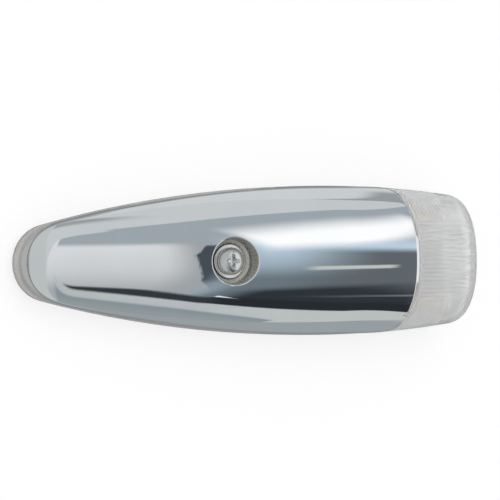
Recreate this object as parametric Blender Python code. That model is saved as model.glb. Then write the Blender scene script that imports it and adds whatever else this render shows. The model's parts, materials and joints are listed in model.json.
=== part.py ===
"""A surface-mounted navigation light: chromed cover, clear lens, festoon bulb, moulded base.

Metres, +Z up. The light lies on its base: X runs along it, with the nose at -X and the lens at +X.
The origin is under the middle of the light, on the face that goes against the boat.
"""

import math

import bmesh
import bpy
from mathutils import Matrix, Vector

# Plan of the light
LENGTH = 0.1512
WIDTH = 0.048
WIDEST_FROM_NOSE = 0.1045
NOSE_RADIUS = 0.0123
AFT_SIDE_RADIUS = 0.311
END_CORNER_RADIUS = 0.0048
LENS_LENGTH = 0.0232
NOSE_LEDGE = 0.0015

# Heights of the stack and of the crest line
GASKET_THICKNESS = 0.0012
BASE_HEIGHT = 0.0048
SKIRT_HEIGHT = 0.0036
CREST_RISE_AT_LENS = 0.0208
CREST_BOW = 0.0014
NOSE_LIFT = 0.0016
NOSE_LIFT_LENGTH = 0.014

# Shape of the domed cover and lens
SIDE_EXPONENT = 2.3
LENS_END_EXPONENT = 4.2
LENS_END_ROUND = 0.0103

# Walls and clearances
GAP = 0.0003
COVER_WALL = 0.0018
LENS_WALL = 0.0022
LIP_CLEARANCE = 0.0004
LIP_WALL = 0.0014
LIP_LENGTH = 0.0040
TAB_WIDTH = 0.0144
TAB_LENGTH = 0.0006

# Screw recess of the cover, and what is in it
SCREW_FROM_NOSE = 0.0673
RECESS_BORE_RADIUS = 0.0065
RECESS_MOUTH_RADIUS = 0.0015
RECESS_DEPTH = 0.0066
RECESS_WALL = 0.0016
RECESS_FLOOR = 0.0020
SCREW_RADIUS = 0.0025
SCREW_LENGTH = 0.0102
SCREW_HEAD_RADIUS = 0.0044
SCREW_HEAD_HEIGHT = 0.0026
HEAD_EDGE_SHARE = 0.25
HEAD_FLAT_SHARE = 0.30
CROSS_LENGTH = 0.0050
CROSS_WIDTH = 0.0011
CROSS_DEPTH = 0.0018
WASHER_RADIUS = 0.0054
WASHER_THICKNESS = 0.0008
SEAL_RING_RADIUS = 0.0050
SEAL_RING_THICKNESS = 0.0006

# Base details
GASKET_INSET = 0.0012
SEAL_INSET = 0.0009
SEAL_WIDTH = 0.0010
SEAL_DEPTH = 0.0012
SPIGOT_WALL = 0.0016
SPIGOT_HEIGHT = 0.0032
PILLAR_WALL = 0.0020
INSERT_WALL = 0.0010
INSERT_LENGTH = 0.0070
BULKHEAD_WALL = 0.0016
BULKHEAD_FROM_LENS = 0.0032
MOUNT_HOLE_RADIUS = 0.00225
MOUNT_HEAD_RADIUS = 0.0046
MOUNT_HEAD_DEPTH = 0.0020
FRONT_MOUNT_FROM_NOSE = 0.034
REAR_MOUNT_FROM_LENS = 0.0116
CABLE_FROM_LENS = 0.0330

# Cable grommet
GROMMET_BORE_RADIUS = 0.0034
GROMMET_WALL = 0.0014
GROMMET_FLANGE = 0.0018
GROMMET_FLANGE_THICKNESS = 0.0010

# Festoon bulb and its contacts
BULB_FROM_END = 0.0090
BULB_LENGTH = 0.031
BULB_RADIUS = 0.0050
BULB_HEIGHT = 0.0067
GLASS_WALL = 0.0006
CAP_RADIUS = 0.0035
CAP_LENGTH = 0.0059
CAP_WALL = 0.0004
CAP_CONE_SHARE = 0.5
NECK_LENGTH = 0.0014
FILAMENT_RADIUS = 0.00025
FILAMENT_COIL_RADIUS = 0.0006
FILAMENT_COIL_LENGTH = 0.010
CLIP_WIDTH = 0.0040
CLIP_SHEET = 0.0005
CLIP_TIP_ABOVE_AXIS = 0.0016
CLIP_FLARE = 0.0007
CLIP_BEND_RADIUS = 0.0012
STRIP_WIDTH = 0.0050
STRIP_SHEET = 0.0006
STRIP_REACH = 0.0101
CHANNEL_DEPTH = 0.0005
RIVET_RADIUS = 0.0010
RIVET_HEAD_RADIUS = 0.0017
RIVET_HEAD_HEIGHT = 0.0006
TERMINAL_FROM_STRIP_END = 0.0040
TERMINAL_RADIUS = 0.0015
TERMINAL_HEAD_RADIUS = 0.00275
TERMINAL_HEAD_HEIGHT = 0.0018
TERMINAL_SLOT_WIDTH = 0.0008
TERMINAL_SLOT_DEPTH = 0.0010
TERMINAL_DEPTH = 0.0036
CLAMP_SIDE = 0.0070
CLAMP_THICKNESS = 0.0008

# Mesh fineness
SIDE_STEPS = 12
NOSE_STEPS = 7
AFT_STEPS = 3
LENS_SIDE_STEPS = 3
LENS_END_STEPS = 8
CORNER_STEPS = 7
ARCH_STEPS = 10
ROUND_STEPS = 28
SMALL_STEPS = 14
HEAD_STEPS = 4
MOUTH_STEPS = 4
SHOULDER_STEPS = 3
BEND_STEPS = 3
BULB_STEPS = 20
FILAMENT_STEPS = 8
CUT_MARGIN = 0.002
WELD_DISTANCE = 0.000002

# Places that follow from the sizes above
NOSE_X = -LENGTH / 2
END_X = LENGTH / 2
CUT_X = END_X - LENS_LENGTH
COVER_NOSE_X = NOSE_X + NOSE_LEDGE
WIDEST_X = NOSE_X + WIDEST_FROM_NOSE
BASE_BOTTOM = GASKET_THICKNESS + GAP
BASE_TOP = BASE_BOTTOM + BASE_HEIGHT
RIM_Z = BASE_TOP + GAP
SKIRT_Z = RIM_Z + SKIRT_HEIGHT
SCREW_X = NOSE_X + SCREW_FROM_NOSE
BULB_X = END_X - BULB_FROM_END
BULB_Z = BASE_TOP + BULB_HEIGHT


def clear_scene():
    for obj in list(bpy.data.objects):
        bpy.data.objects.remove(obj, do_unlink=True)


def make_material(name, colour, roughness, metallic=0.0, transmission=0.0):
    material = bpy.data.materials.new(name)
    material.use_nodes = True
    shader = material.node_tree.nodes["Principled BSDF"]
    shader.inputs["Base Color"].default_value = (*colour, 1.0)
    shader.inputs["Roughness"].default_value = roughness
    shader.inputs["Metallic"].default_value = metallic
    shader.inputs["Transmission Weight"].default_value = transmission
    material.diffuse_color = (*colour, 1.0)
    return material


# Building blocks


def finish_object(name, bm, material=None, origin=(0.0, 0.0, 0.0), smooth_angle=35.0):
    """Makes an object of a bmesh given in world space, with its origin at the given point."""
    bmesh.ops.remove_doubles(bm, verts=bm.verts, dist=1e-6)
    bmesh.ops.recalc_face_normals(bm, faces=bm.faces)
    bmesh.ops.translate(bm, verts=bm.verts, vec=-Vector(origin))
    mesh = bpy.data.meshes.new(name)
    bm.to_mesh(mesh)
    bm.free()
    obj = bpy.data.objects.new(name, mesh)
    obj.location = origin
    bpy.context.scene.collection.objects.link(obj)
    mesh.shade_smooth()
    mesh.set_sharp_from_angle(angle=math.radians(smooth_angle))
    if material is None:
        obj.hide_render = True
        obj.display_type = "WIRE"
    else:
        mesh.materials.append(material)
    return obj


def boolean(obj, other, operation):
    modifier = obj.modifiers.new(f"{operation} {other.name}", "BOOLEAN")
    modifier.object = other
    modifier.operation = operation
    modifier.solver = "EXACT"
    return obj


def cut(obj, *cutters):
    for cutter in cutters:
        boolean(obj, cutter, "DIFFERENCE")
    return obj


def join(obj, *others):
    for other in others:
        boolean(obj, other, "UNION")
    return obj


def weld(obj):
    """Merges the points that cuts along one edge leave on top of each other."""
    modifier = obj.modifiers.new("Weld", "WELD")
    modifier.merge_threshold = WELD_DISTANCE
    return obj


def prism(bm, loop, low, high):
    """Adds an upright prism over a closed plan loop."""
    bottom = [bm.verts.new((x, y, low)) for x, y in loop]
    top = [bm.verts.new((x, y, high)) for x, y in loop]
    bm.faces.new(bottom)
    bm.faces.new(top)
    for k in range(len(loop)):
        after = (k + 1) % len(loop)
        bm.faces.new((bottom[k], bottom[after], top[after], top[k]))
    return bm


def ring_prism(bm, outer, inner, low, high):
    """Adds an upright ring between two plan loops of the same count."""
    rows = [
        [bm.verts.new((x, y, z)) for x, y in loop]
        for loop, z in ((outer, low), (outer, high), (inner, high), (inner, low))
    ]
    for row, following in zip(rows, rows[1:] + rows[:1]):
        for k in range(len(outer)):
            after = (k + 1) % len(outer)
            bm.faces.new((row[k], row[after], following[after], following[k]))
    return bm


def turned(profile, steps, centre=(0.0, 0.0), closed=False):
    """A surface of revolution about an upright axis, through a list of (radius, height).

    A closed list makes a ring; an open one gets a flat face at each end.
    """
    bm = bmesh.new()
    angles = [2 * math.pi * k / steps for k in range(steps)]
    rings = []
    for radius, height in profile:
        points = [(centre[0] + radius * math.cos(a), centre[1] + radius * math.sin(a)) for a in angles]
        rings.append([bm.verts.new((x, y, height)) for x, y in points])
    if closed:
        rings.append(rings[0])
    else:
        bm.faces.new(rings[0])
        bm.faces.new(rings[-1])
    for ring, following in zip(rings, rings[1:]):
        for k in range(steps):
            after = (k + 1) % steps
            bm.faces.new((ring[k], ring[after], following[after], following[k]))
    return bm


def cylinder(radius, low, high, centre, steps=ROUND_STEPS):
    return turned([(radius, low), (radius, high)], steps, centre)


def tube(radius, low, high):
    """A ring round the cover screw's shank."""
    bore = SCREW_HOLE_RADIUS
    profile = [(radius, low), (radius, high), (bore, high), (bore, low)]
    return turned(profile, ROUND_STEPS, SCREW_CENTRE, closed=True)


def stepped_hole(narrow, wide, top, centre):
    """The cutter of a hole with a wider upper part; narrow and wide are (radius, lowest height)."""
    profile = [narrow, (narrow[0], wide[1]), wide, (wide[0], top)]
    return turned(profile, ROUND_STEPS, centre)


def block(low, high):
    """A box between two corners."""
    bm = bmesh.new()
    loop = [(low[0], low[1]), (high[0], low[1]), (high[0], high[1]), (low[0], high[1])]
    return prism(bm, loop, low[2], high[2])


# Plan outline: arcs that offset exactly


def side_centre(radius):
    return WIDTH / 2 - radius


def fore_side_radius(nose_x):
    """The side arc's radius, from the nose arc that it runs into and the widest point."""
    reach = WIDEST_X - nose_x - NOSE_RADIUS
    half = WIDTH / 2
    return (reach**2 + half**2 - NOSE_RADIUS**2) / (2 * (half - NOSE_RADIUS))


def aft_half_width(x, inset=0.0):
    radius = AFT_SIDE_RADIUS - inset
    return math.sqrt(radius**2 - (x - WIDEST_X) ** 2) + side_centre(AFT_SIDE_RADIUS)


def fore_points(nose_x, inset):
    """Points from just past the widest place to the tip of the nose."""
    side = fore_side_radius(nose_x)
    nose_centre = nose_x + NOSE_RADIUS
    meet = math.asin((WIDEST_X - nose_centre) / (side - NOSE_RADIUS))
    points = []
    for k in range(1, SIDE_STEPS + 1):
        angle = meet * k / SIDE_STEPS
        x = WIDEST_X - (side - inset) * math.sin(angle)
        points.append((x, side_centre(side) + (side - inset) * math.cos(angle)))
    for k in range(1, NOSE_STEPS):
        angle = meet + (math.pi / 2 - meet) * k / NOSE_STEPS
        x = nose_centre - (NOSE_RADIUS - inset) * math.sin(angle)
        points.append((x, (NOSE_RADIUS - inset) * math.cos(angle)))
    points.append((nose_x + inset, 0.0))
    return points


def aft_points(start_x, inset):
    """Points from the start to the widest place, going towards the nose."""
    places = [start_x + (WIDEST_X - start_x) * k / AFT_STEPS for k in range(AFT_STEPS + 1)]
    return [(x, aft_half_width(x, inset)) for x in places]


def corner_arc():
    """The arc at a corner of the lens end: its centre, and the angle where it leaves the side."""
    centre_x = END_X - END_CORNER_RADIUS
    reach = AFT_SIDE_RADIUS - END_CORNER_RADIUS
    meet = math.asin((centre_x - WIDEST_X) / reach)
    return centre_x, side_centre(AFT_SIDE_RADIUS) + reach * math.cos(meet), meet


def lens_half_width(x, inset):
    centre_x, centre_y, meet = corner_arc()
    radius = END_CORNER_RADIUS - inset
    if x < centre_x + radius * math.sin(meet):
        return aft_half_width(x, inset)
    return centre_y + math.sqrt(max(radius**2 - (x - centre_x) ** 2, 0.0))


def end_points(start_x, inset):
    """Points from the start along the side, round the corner and to the middle of the lens end."""
    centre_x, centre_y, meet = corner_arc()
    radius = END_CORNER_RADIUS - inset
    side_end = centre_x + radius * math.sin(meet)
    points = []
    for k in range(LENS_SIDE_STEPS):
        x = start_x + (side_end - start_x) * k / LENS_SIDE_STEPS
        points.append((x, aft_half_width(x, inset)))
    for k in range(CORNER_STEPS + 1):
        angle = meet + (math.pi / 2 - meet) * k / CORNER_STEPS
        points.append((centre_x + radius * math.sin(angle), centre_y + radius * math.cos(angle)))
    points.append((END_X - inset, 0.0))
    return points


def closed_loop(nose_x, inset):
    """The whole plan outline, offset inwards."""
    fore = aft_points(CUT_X, inset) + fore_points(nose_x, inset)
    aft = end_points(CUT_X, inset)
    loop = fore + [(x, -y) for x, y in reversed(fore[:-1])]
    loop += [(x, -y) for x, y in aft[1:-1]]
    return loop + list(reversed(aft[1:]))


# Domed form of the cover and lens: arched sections across X


def crest_rise(x):
    """Height of the crest line above the skirt: a rounded nose, then a long bowed slope."""
    start = min((x - COVER_NOSE_X) / NOSE_LIFT_LENGTH, 1.0)
    lift = NOSE_LIFT * (1 - (1 - start) ** 3)
    t = (x - COVER_NOSE_X) / (CUT_X - COVER_NOSE_X)
    return lift + (CREST_RISE_AT_LENS - NOSE_LIFT) * t + 4 * CREST_BOW * t * (1 - t)


def round_over(share, exponent):
    """Height left, from 1 to 0, at a share of the way to the edge of a superellipse."""
    return (1 - share**exponent) ** (1 / exponent)


def spread(step, steps, exponent):
    """Shares of the way to the edge that are close together where the superellipse is steep."""
    return math.sin(math.pi / 2 * step / steps) ** (2 / exponent)


def section(half, rise, inset, bottom):
    """(y, z) of an arched section, from its foot on the left over the crest to its foot on the right."""
    left = [(half, bottom)]
    for k in range(ARCH_STEPS, -1, -1):
        share = spread(k, ARCH_STEPS, SIDE_EXPONENT)
        left.append((half * share, SKIRT_Z - inset + rise * round_over(share, SIDE_EXPONENT)))
    return left + [(-y, z) for y, z in reversed(left[:-1])]


def dome(rows, inset, bottom):
    """A closed solid through a run of (x, half width, rise) sections, with an upright wall at its end."""
    bm = bmesh.new()
    grid = []
    for x, half, rise in rows:
        grid.append([bm.verts.new((x, y, z)) for y, z in section(half, rise, inset, bottom)])
    grid.append([bm.verts.new((vert.co.x, vert.co.y, bottom)) for vert in grid[-1]])
    for row, following in zip(grid, grid[1:]):
        for k in range(len(row) - 1):
            bm.faces.new((row[k], row[k + 1], following[k + 1], following[k]))
    bm.faces.new(grid[0])
    bm.faces.new([row[0] for row in grid[:-1]] + grid[-1] + [row[-1] for row in reversed(grid[:-1])])
    return bm


def cover_dome(inset, bottom, start_x):
    points = aft_points(start_x, inset) + fore_points(COVER_NOSE_X, inset)
    rows = [(x, half, crest_rise(x)) for x, half in points[:-1]]
    rows.append((*points[-1], 0.0))
    return dome(rows, inset, bottom)


def cover_height(x, y):
    """Height of the cover's outer surface between its widest place and its nose arc."""
    side = fore_side_radius(COVER_NOSE_X)
    half = side_centre(side) + math.sqrt(side**2 - (x - WIDEST_X) ** 2)
    return SKIRT_Z + crest_rise(x) * round_over(abs(y) / half, SIDE_EXPONENT)


def lens_dome(inset, bottom, start_x):
    round_x = END_X - inset - LENS_END_ROUND
    rows = []
    for k in range(LENS_SIDE_STEPS):
        x = start_x + (round_x - start_x) * k / LENS_SIDE_STEPS
        rows.append((x, lens_half_width(x, inset), crest_rise(x)))
    for k in range(LENS_END_STEPS + 1):
        share = spread(k, LENS_END_STEPS, LENS_END_EXPONENT)
        x = round_x + LENS_END_ROUND * share
        rise = crest_rise(x) * round_over(share, LENS_END_EXPONENT)
        rows.append((x, lens_half_width(x, inset), rise))
    return dome(rows, inset, bottom)


def arch_slab(first_x, last_x, inset, bottom):
    """A slab of the domed form between two upright planes."""
    bm = bmesh.new()
    rows = []
    for x in (first_x, last_x):
        outline = section(aft_half_width(x, inset), crest_rise(x), inset, bottom)
        rows.append([bm.verts.new((x, y, z)) for y, z in outline])
    count = len(rows[0])
    for k in range(count):
        after = (k + 1) % count
        bm.faces.new((rows[0][k], rows[0][after], rows[1][after], rows[1][k]))
    bm.faces.new(rows[0])
    bm.faces.new(rows[1])
    return bm


# Heights and radii of the screw stack, from the recess floor upwards

RECESS_FLOOR_Z = SKIRT_Z + crest_rise(SCREW_X) - RECESS_DEPTH
RECESS_UNDERSIDE = RECESS_FLOOR_Z - RECESS_FLOOR
PILLAR_TOP = RECESS_UNDERSIDE - GAP
SEAL_RING_Z = RECESS_FLOOR_Z + GAP
WASHER_Z = SEAL_RING_Z + SEAL_RING_THICKNESS + GAP
HEAD_Z = WASHER_Z + WASHER_THICKNESS + GAP
SCREW_TIP_Z = HEAD_Z - SCREW_LENGTH
SCREW_HOLE_RADIUS = SCREW_RADIUS + GAP
INSERT_RADIUS = SCREW_HOLE_RADIUS + INSERT_WALL
INSERT_Z = PILLAR_TOP - INSERT_LENGTH
PILLAR_RADIUS = INSERT_RADIUS + GAP + PILLAR_WALL
SCREW_CENTRE = (SCREW_X, 0.0)

# Heights of the contact stack, from the channels in the base upwards

STRIP_Z = BASE_TOP - CHANNEL_DEPTH + GAP
STRIP_TOP = STRIP_Z + STRIP_SHEET
CLIP_Z = STRIP_TOP + GAP
RIVET_HEAD_Z = CLIP_Z + CLIP_SHEET + GAP
CLAMP_Z = STRIP_TOP + GAP
TERMINAL_HEAD_Z = CLAMP_Z + CLAMP_THICKNESS + GAP
CLIP_HALF_GAP = CAP_RADIUS + GAP
CLIP_Y = BULB_LENGTH / 2 - CAP_LENGTH + GAP + CLIP_WIDTH / 2
STRIP_FRONT = BULB_X + CLIP_HALF_GAP + CLIP_SHEET
SIDES = (("left", 1), ("right", -1))

# Other places on the base

SPIGOT_INSET = max(COVER_WALL, LENS_WALL, SEAL_INSET + SEAL_WIDTH + GAP) + GAP
SPIGOT_TOP = BASE_TOP + SPIGOT_HEIGHT
LIP_INSET = COVER_WALL + LIP_CLEARANCE
LIP_X = CUT_X - LIP_LENGTH
STEP_X = CUT_X + GAP + LIP_WALL
BULKHEAD_INSET = LIP_INSET + LIP_WALL + LIP_CLEARANCE
BULKHEAD_X = CUT_X - BULKHEAD_FROM_LENS
STRIP_REAR = BULKHEAD_X - STRIP_REACH
TERMINAL_X = STRIP_REAR + TERMINAL_FROM_STRIP_END
ROOT_Z = (BASE_BOTTOM + BASE_TOP) / 2
GROMMET_RADIUS = GROMMET_BORE_RADIUS + GROMMET_WALL
GROMMET_FLANGE_RADIUS = GROMMET_RADIUS + GROMMET_FLANGE
CABLE_CENTRE = (CUT_X - CABLE_FROM_LENS, 0.0)
MOUNT_CENTRES = ((NOSE_X + FRONT_MOUNT_FROM_NOSE, 0.0), (CUT_X - REAR_MOUNT_FROM_LENS, 0.0))
CUT_HIGH = SKIRT_Z + 2 * CREST_RISE_AT_LENS


# Cover


def rolled_recess():
    """The cutter of the screw recess: an upright bore whose mouth is rounded along the sloping surface."""
    bm = bmesh.new()
    rings = []
    angles = [2 * math.pi * k / ROUND_STEPS for k in range(ROUND_STEPS)]

    def ring(radius, height):
        points = [(SCREW_X + radius * math.cos(a), radius * math.sin(a)) for a in angles]
        rings.append([bm.verts.new((x, y, height(x, y))) for x, y in points])

    ring(RECESS_BORE_RADIUS, lambda x, y: RECESS_FLOOR_Z)
    for k in range(MOUTH_STEPS + 1):
        turn = math.pi / 2 * k / MOUTH_STEPS
        drop = RECESS_MOUTH_RADIUS * (1 - math.sin(turn))
        radius = RECESS_BORE_RADIUS + RECESS_MOUTH_RADIUS * (1 - math.cos(turn))
        ring(radius, lambda x, y, drop=drop: cover_height(x, y) - drop)
    ring(radius, lambda x, y: cover_height(x, y) + CUT_MARGIN)
    for row, following in zip(rings, rings[1:]):
        for k in range(ROUND_STEPS):
            after = (k + 1) % ROUND_STEPS
            bm.faces.new((row[k], row[after], following[after], following[k]))
    bm.faces.new(rings[0])
    middle = bm.verts.new((SCREW_X, 0.0, cover_height(SCREW_X, 0.0) + CUT_MARGIN))
    for k in range(ROUND_STEPS):
        bm.faces.new((rings[-1][k], rings[-1][(k + 1) % ROUND_STEPS], middle))
    return bm


def make_cover(chrome):
    tab_x = CUT_X + TAB_LENGTH
    cover = finish_object("cover", cover_dome(0.0, RIM_Z, tab_x), chrome, (SCREW_X, 0.0, RIM_Z))
    cavity = cover_dome(COVER_WALL, RIM_Z - CUT_MARGIN, tab_x + CUT_MARGIN)
    cavity = finish_object("cutter_cover_cavity", cavity)
    cup_radius = RECESS_BORE_RADIUS + RECESS_WALL
    cup = finish_object("cutter_cup", cylinder(cup_radius, RECESS_UNDERSIDE, CUT_HIGH, SCREW_CENTRE))
    cut(cavity, cup)
    recess = finish_object("cutter_recess", rolled_recess())
    low = RECESS_UNDERSIDE - CUT_MARGIN
    hole = cylinder(SCREW_HOLE_RADIUS, low, RECESS_FLOOR_Z + CUT_MARGIN, SCREW_CENTRE)
    hole = finish_object("cutter_screw_hole", hole)
    cut(cover, cavity, recess, hole)
    for side, sign in SIDES:
        ends = sorted((sign * TAB_WIDTH / 2, sign * WIDTH))
        trim = block((CUT_X, ends[0], 0.0), (tab_x + CUT_MARGIN, ends[1], CUT_HIGH))
        cut(cover, finish_object(f"cutter_tab_{side}", trim))
    return cover


# Lens


def make_lens(clear):
    body_x = CUT_X + GAP
    lens = finish_object("lens", lens_dome(0.0, RIM_Z, body_x), clear, (BULB_X, 0.0, RIM_Z))
    lip = finish_object("cutter_lip", arch_slab(LIP_X, STEP_X, LIP_INSET, RIM_Z))
    join(lens, lip)
    low = RIM_Z - CUT_MARGIN
    cut(lens, finish_object("cutter_lens_cavity", lens_dome(LENS_WALL, low, STEP_X)))
    throat = arch_slab(LIP_X - CUT_MARGIN, STEP_X + CUT_MARGIN, LIP_INSET + LIP_WALL, low)
    cut(lens, finish_object("cutter_lens_throat", throat))
    reach = TAB_WIDTH / 2 + GAP
    notch = block((CUT_X, -reach, BULB_Z), (body_x + TAB_LENGTH, reach, CUT_HIGH))
    notch = finish_object("cutter_notch", notch)
    keep = finish_object("cutter_notch_keep", arch_slab(LIP_X, STEP_X + CUT_MARGIN, LIP_INSET, low))
    cut(notch, keep)
    cut(lens, notch)
    return lens


# Base and its seals


def make_base(plastic):
    loop = closed_loop(NOSE_X, 0.0)
    base = finish_object("base", prism(bmesh.new(), loop, BASE_BOTTOM, BASE_TOP), plastic)

    spigot = ring_prism(
        bmesh.new(),
        closed_loop(COVER_NOSE_X, SPIGOT_INSET),
        closed_loop(COVER_NOSE_X, SPIGOT_INSET + SPIGOT_WALL),
        ROOT_Z,
        SPIGOT_TOP,
    )
    spigot = finish_object("cutter_spigot", spigot)
    roof_inset = SPIGOT_INSET - GAP
    roof = cover_dome(roof_inset, BASE_BOTTOM, CUT_X + CUT_MARGIN)
    roof = finish_object("cutter_roof", roof)
    lens_roof = lens_dome(roof_inset, BASE_BOTTOM, CUT_X - CUT_MARGIN)
    join(roof, finish_object("cutter_lens_roof", lens_roof))
    boolean(spigot, roof, "INTERSECT")
    lip_room = block((LIP_X - GAP, -WIDTH, BASE_BOTTOM), (STEP_X + GAP, WIDTH, CUT_HIGH))
    cut(spigot, finish_object("cutter_lip_room", lip_room))

    pillar = cylinder(PILLAR_RADIUS, ROOT_Z, PILLAR_TOP, SCREW_CENTRE)
    pillar = finish_object("cutter_pillar", pillar)
    wall = arch_slab(BULKHEAD_X, BULKHEAD_X + BULKHEAD_WALL, BULKHEAD_INSET, ROOT_Z)
    bulkhead = finish_object("cutter_bulkhead", wall)
    join(base, spigot, pillar, bulkhead)

    groove = ring_prism(
        bmesh.new(),
        closed_loop(COVER_NOSE_X, SEAL_INSET - GAP),
        closed_loop(COVER_NOSE_X, SEAL_INSET + SEAL_WIDTH + GAP),
        BASE_TOP - SEAL_DEPTH - GAP,
        BASE_TOP + GAP,
    )
    cut(base, finish_object("cutter_groove", groove))

    bore = stepped_hole(
        (SCREW_HOLE_RADIUS, min(SCREW_TIP_Z, INSERT_Z) - CUT_MARGIN),
        (INSERT_RADIUS + GAP, INSERT_Z - GAP),
        PILLAR_TOP + CUT_MARGIN,
        SCREW_CENTRE,
    )
    cut(base, finish_object("cutter_screw_bore", bore))

    low = BASE_BOTTOM - CUT_MARGIN
    high = BASE_TOP + CUT_MARGIN
    cable = cylinder(GROMMET_RADIUS + GAP, low, high, CABLE_CENTRE)
    cut(base, finish_object("cutter_cable", cable))
    for name, centre in zip(("front", "rear"), MOUNT_CENTRES):
        hole = stepped_hole(
            (MOUNT_HOLE_RADIUS, low), (MOUNT_HEAD_RADIUS, BASE_TOP - MOUNT_HEAD_DEPTH), high, centre
        )
        cut(base, finish_object(f"cutter_mount_{name}", hole))
    for side, sign in SIDES:
        centre_y = sign * CLIP_Y
        half = STRIP_WIDTH / 2 + GAP
        channel = block(
            (STRIP_REAR - GAP, centre_y - half, BASE_TOP - CHANNEL_DEPTH),
            (STRIP_FRONT + GAP, centre_y + half, STRIP_TOP + GAP),
        )
        cut(base, finish_object(f"cutter_channel_{side}", channel))
        rivet = cylinder(RIVET_RADIUS + GAP, low, high, (BULB_X, centre_y), SMALL_STEPS)
        terminal = cylinder(TERMINAL_RADIUS + GAP, low, high, (TERMINAL_X, centre_y), SMALL_STEPS)
        cut(base, finish_object(f"cutter_rivet_{side}", rivet))
        cut(base, finish_object(f"cutter_terminal_{side}", terminal))
    return weld(base)


def make_gasket(foam):
    loop = closed_loop(NOSE_X, GASKET_INSET)
    gasket = finish_object("base_gasket", prism(bmesh.new(), loop, 0.0, GASKET_THICKNESS), foam)
    low = -CUT_MARGIN
    high = GASKET_THICKNESS + CUT_MARGIN
    hole = cylinder(GROMMET_FLANGE_RADIUS + GAP, low, high, CABLE_CENTRE)
    cut(gasket, finish_object("cutter_gasket_cable", hole))
    for name, centre in zip(("front", "rear"), MOUNT_CENTRES):
        hole = cylinder(MOUNT_HOLE_RADIUS, low, high, centre, SMALL_STEPS)
        cut(gasket, finish_object(f"cutter_gasket_{name}", hole))
    return gasket


def make_rim_seal(silicone):
    outer = closed_loop(COVER_NOSE_X, SEAL_INSET)
    inner = closed_loop(COVER_NOSE_X, SEAL_INSET + SEAL_WIDTH)
    ring = ring_prism(bmesh.new(), outer, inner, BASE_TOP - SEAL_DEPTH, BASE_TOP)
    return finish_object("rim_seal", ring, silicone)


def make_grommet(rubber):
    top = BASE_TOP + GAP
    profile = [
        (GROMMET_BORE_RADIUS, BASE_BOTTOM - GAP - GROMMET_FLANGE_THICKNESS),
        (GROMMET_FLANGE_RADIUS, BASE_BOTTOM - GAP - GROMMET_FLANGE_THICKNESS),
        (GROMMET_FLANGE_RADIUS, BASE_BOTTOM - GAP),
        (GROMMET_RADIUS, BASE_BOTTOM - GAP),
        (GROMMET_RADIUS, top),
        (GROMMET_FLANGE_RADIUS, top),
        (GROMMET_FLANGE_RADIUS, top + GROMMET_FLANGE_THICKNESS),
        (GROMMET_BORE_RADIUS, top + GROMMET_FLANGE_THICKNESS),
    ]
    ring = turned(profile, ROUND_STEPS, CABLE_CENTRE, closed=True)
    return finish_object("cable_grommet", ring, rubber)


# Screw stack


def make_screw(steel):
    top = HEAD_Z + SCREW_HEAD_HEIGHT
    edge_z = HEAD_Z + SCREW_HEAD_HEIGHT * HEAD_EDGE_SHARE
    flat = SCREW_HEAD_RADIUS * HEAD_FLAT_SHARE
    profile = [(SCREW_RADIUS, SCREW_TIP_Z), (SCREW_RADIUS, HEAD_Z), (SCREW_HEAD_RADIUS, HEAD_Z)]
    for k in range(HEAD_STEPS + 1):
        turn = math.pi / 2 * k / HEAD_STEPS
        radius = flat + (SCREW_HEAD_RADIUS - flat) * math.cos(turn)
        profile.append((radius, edge_z + (top - edge_z) * math.sin(turn)))
    screw = turned(profile, ROUND_STEPS, SCREW_CENTRE)
    screw = finish_object("cover_screw", screw, steel, (*SCREW_CENTRE, HEAD_Z))
    slots = []
    for name, long_x, long_y in (
        ("along", CROSS_LENGTH, CROSS_WIDTH),
        ("across", CROSS_WIDTH, CROSS_LENGTH),
    ):
        low = (SCREW_X - long_x / 2, -long_y / 2, top - CROSS_DEPTH)
        high = (SCREW_X + long_x / 2, long_y / 2, top + CUT_MARGIN)
        slots.append(finish_object(f"cutter_cross_{name}", block(low, high)))
    return cut(screw, *slots)


def make_screw_stack(steel, brass, rubber):
    ring = tube(SEAL_RING_RADIUS, SEAL_RING_Z, SEAL_RING_Z + SEAL_RING_THICKNESS)
    seal = finish_object("screw_seal", ring, rubber, (*SCREW_CENTRE, SEAL_RING_Z))
    ring = tube(WASHER_RADIUS, WASHER_Z, WASHER_Z + WASHER_THICKNESS)
    washer = finish_object("screw_washer", ring, steel, (*SCREW_CENTRE, WASHER_Z))
    ring = tube(INSERT_RADIUS, INSERT_Z, PILLAR_TOP)
    finish_object("threaded_insert", ring, brass, (*SCREW_CENTRE, INSERT_Z))
    return seal, washer


# Bulb and contacts


def lying(profile, steps=BULB_STEPS, closed=False):
    """A turned shape whose axis lies along Y, through the middle of the bulb."""
    bm = turned(profile, steps, closed=closed)
    turn = Matrix.Translation((BULB_X, 0.0, BULB_Z)) @ Matrix.Rotation(-math.pi / 2, 4, "X")
    bmesh.ops.transform(bm, matrix=turn, verts=bm.verts)
    return bm


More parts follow.
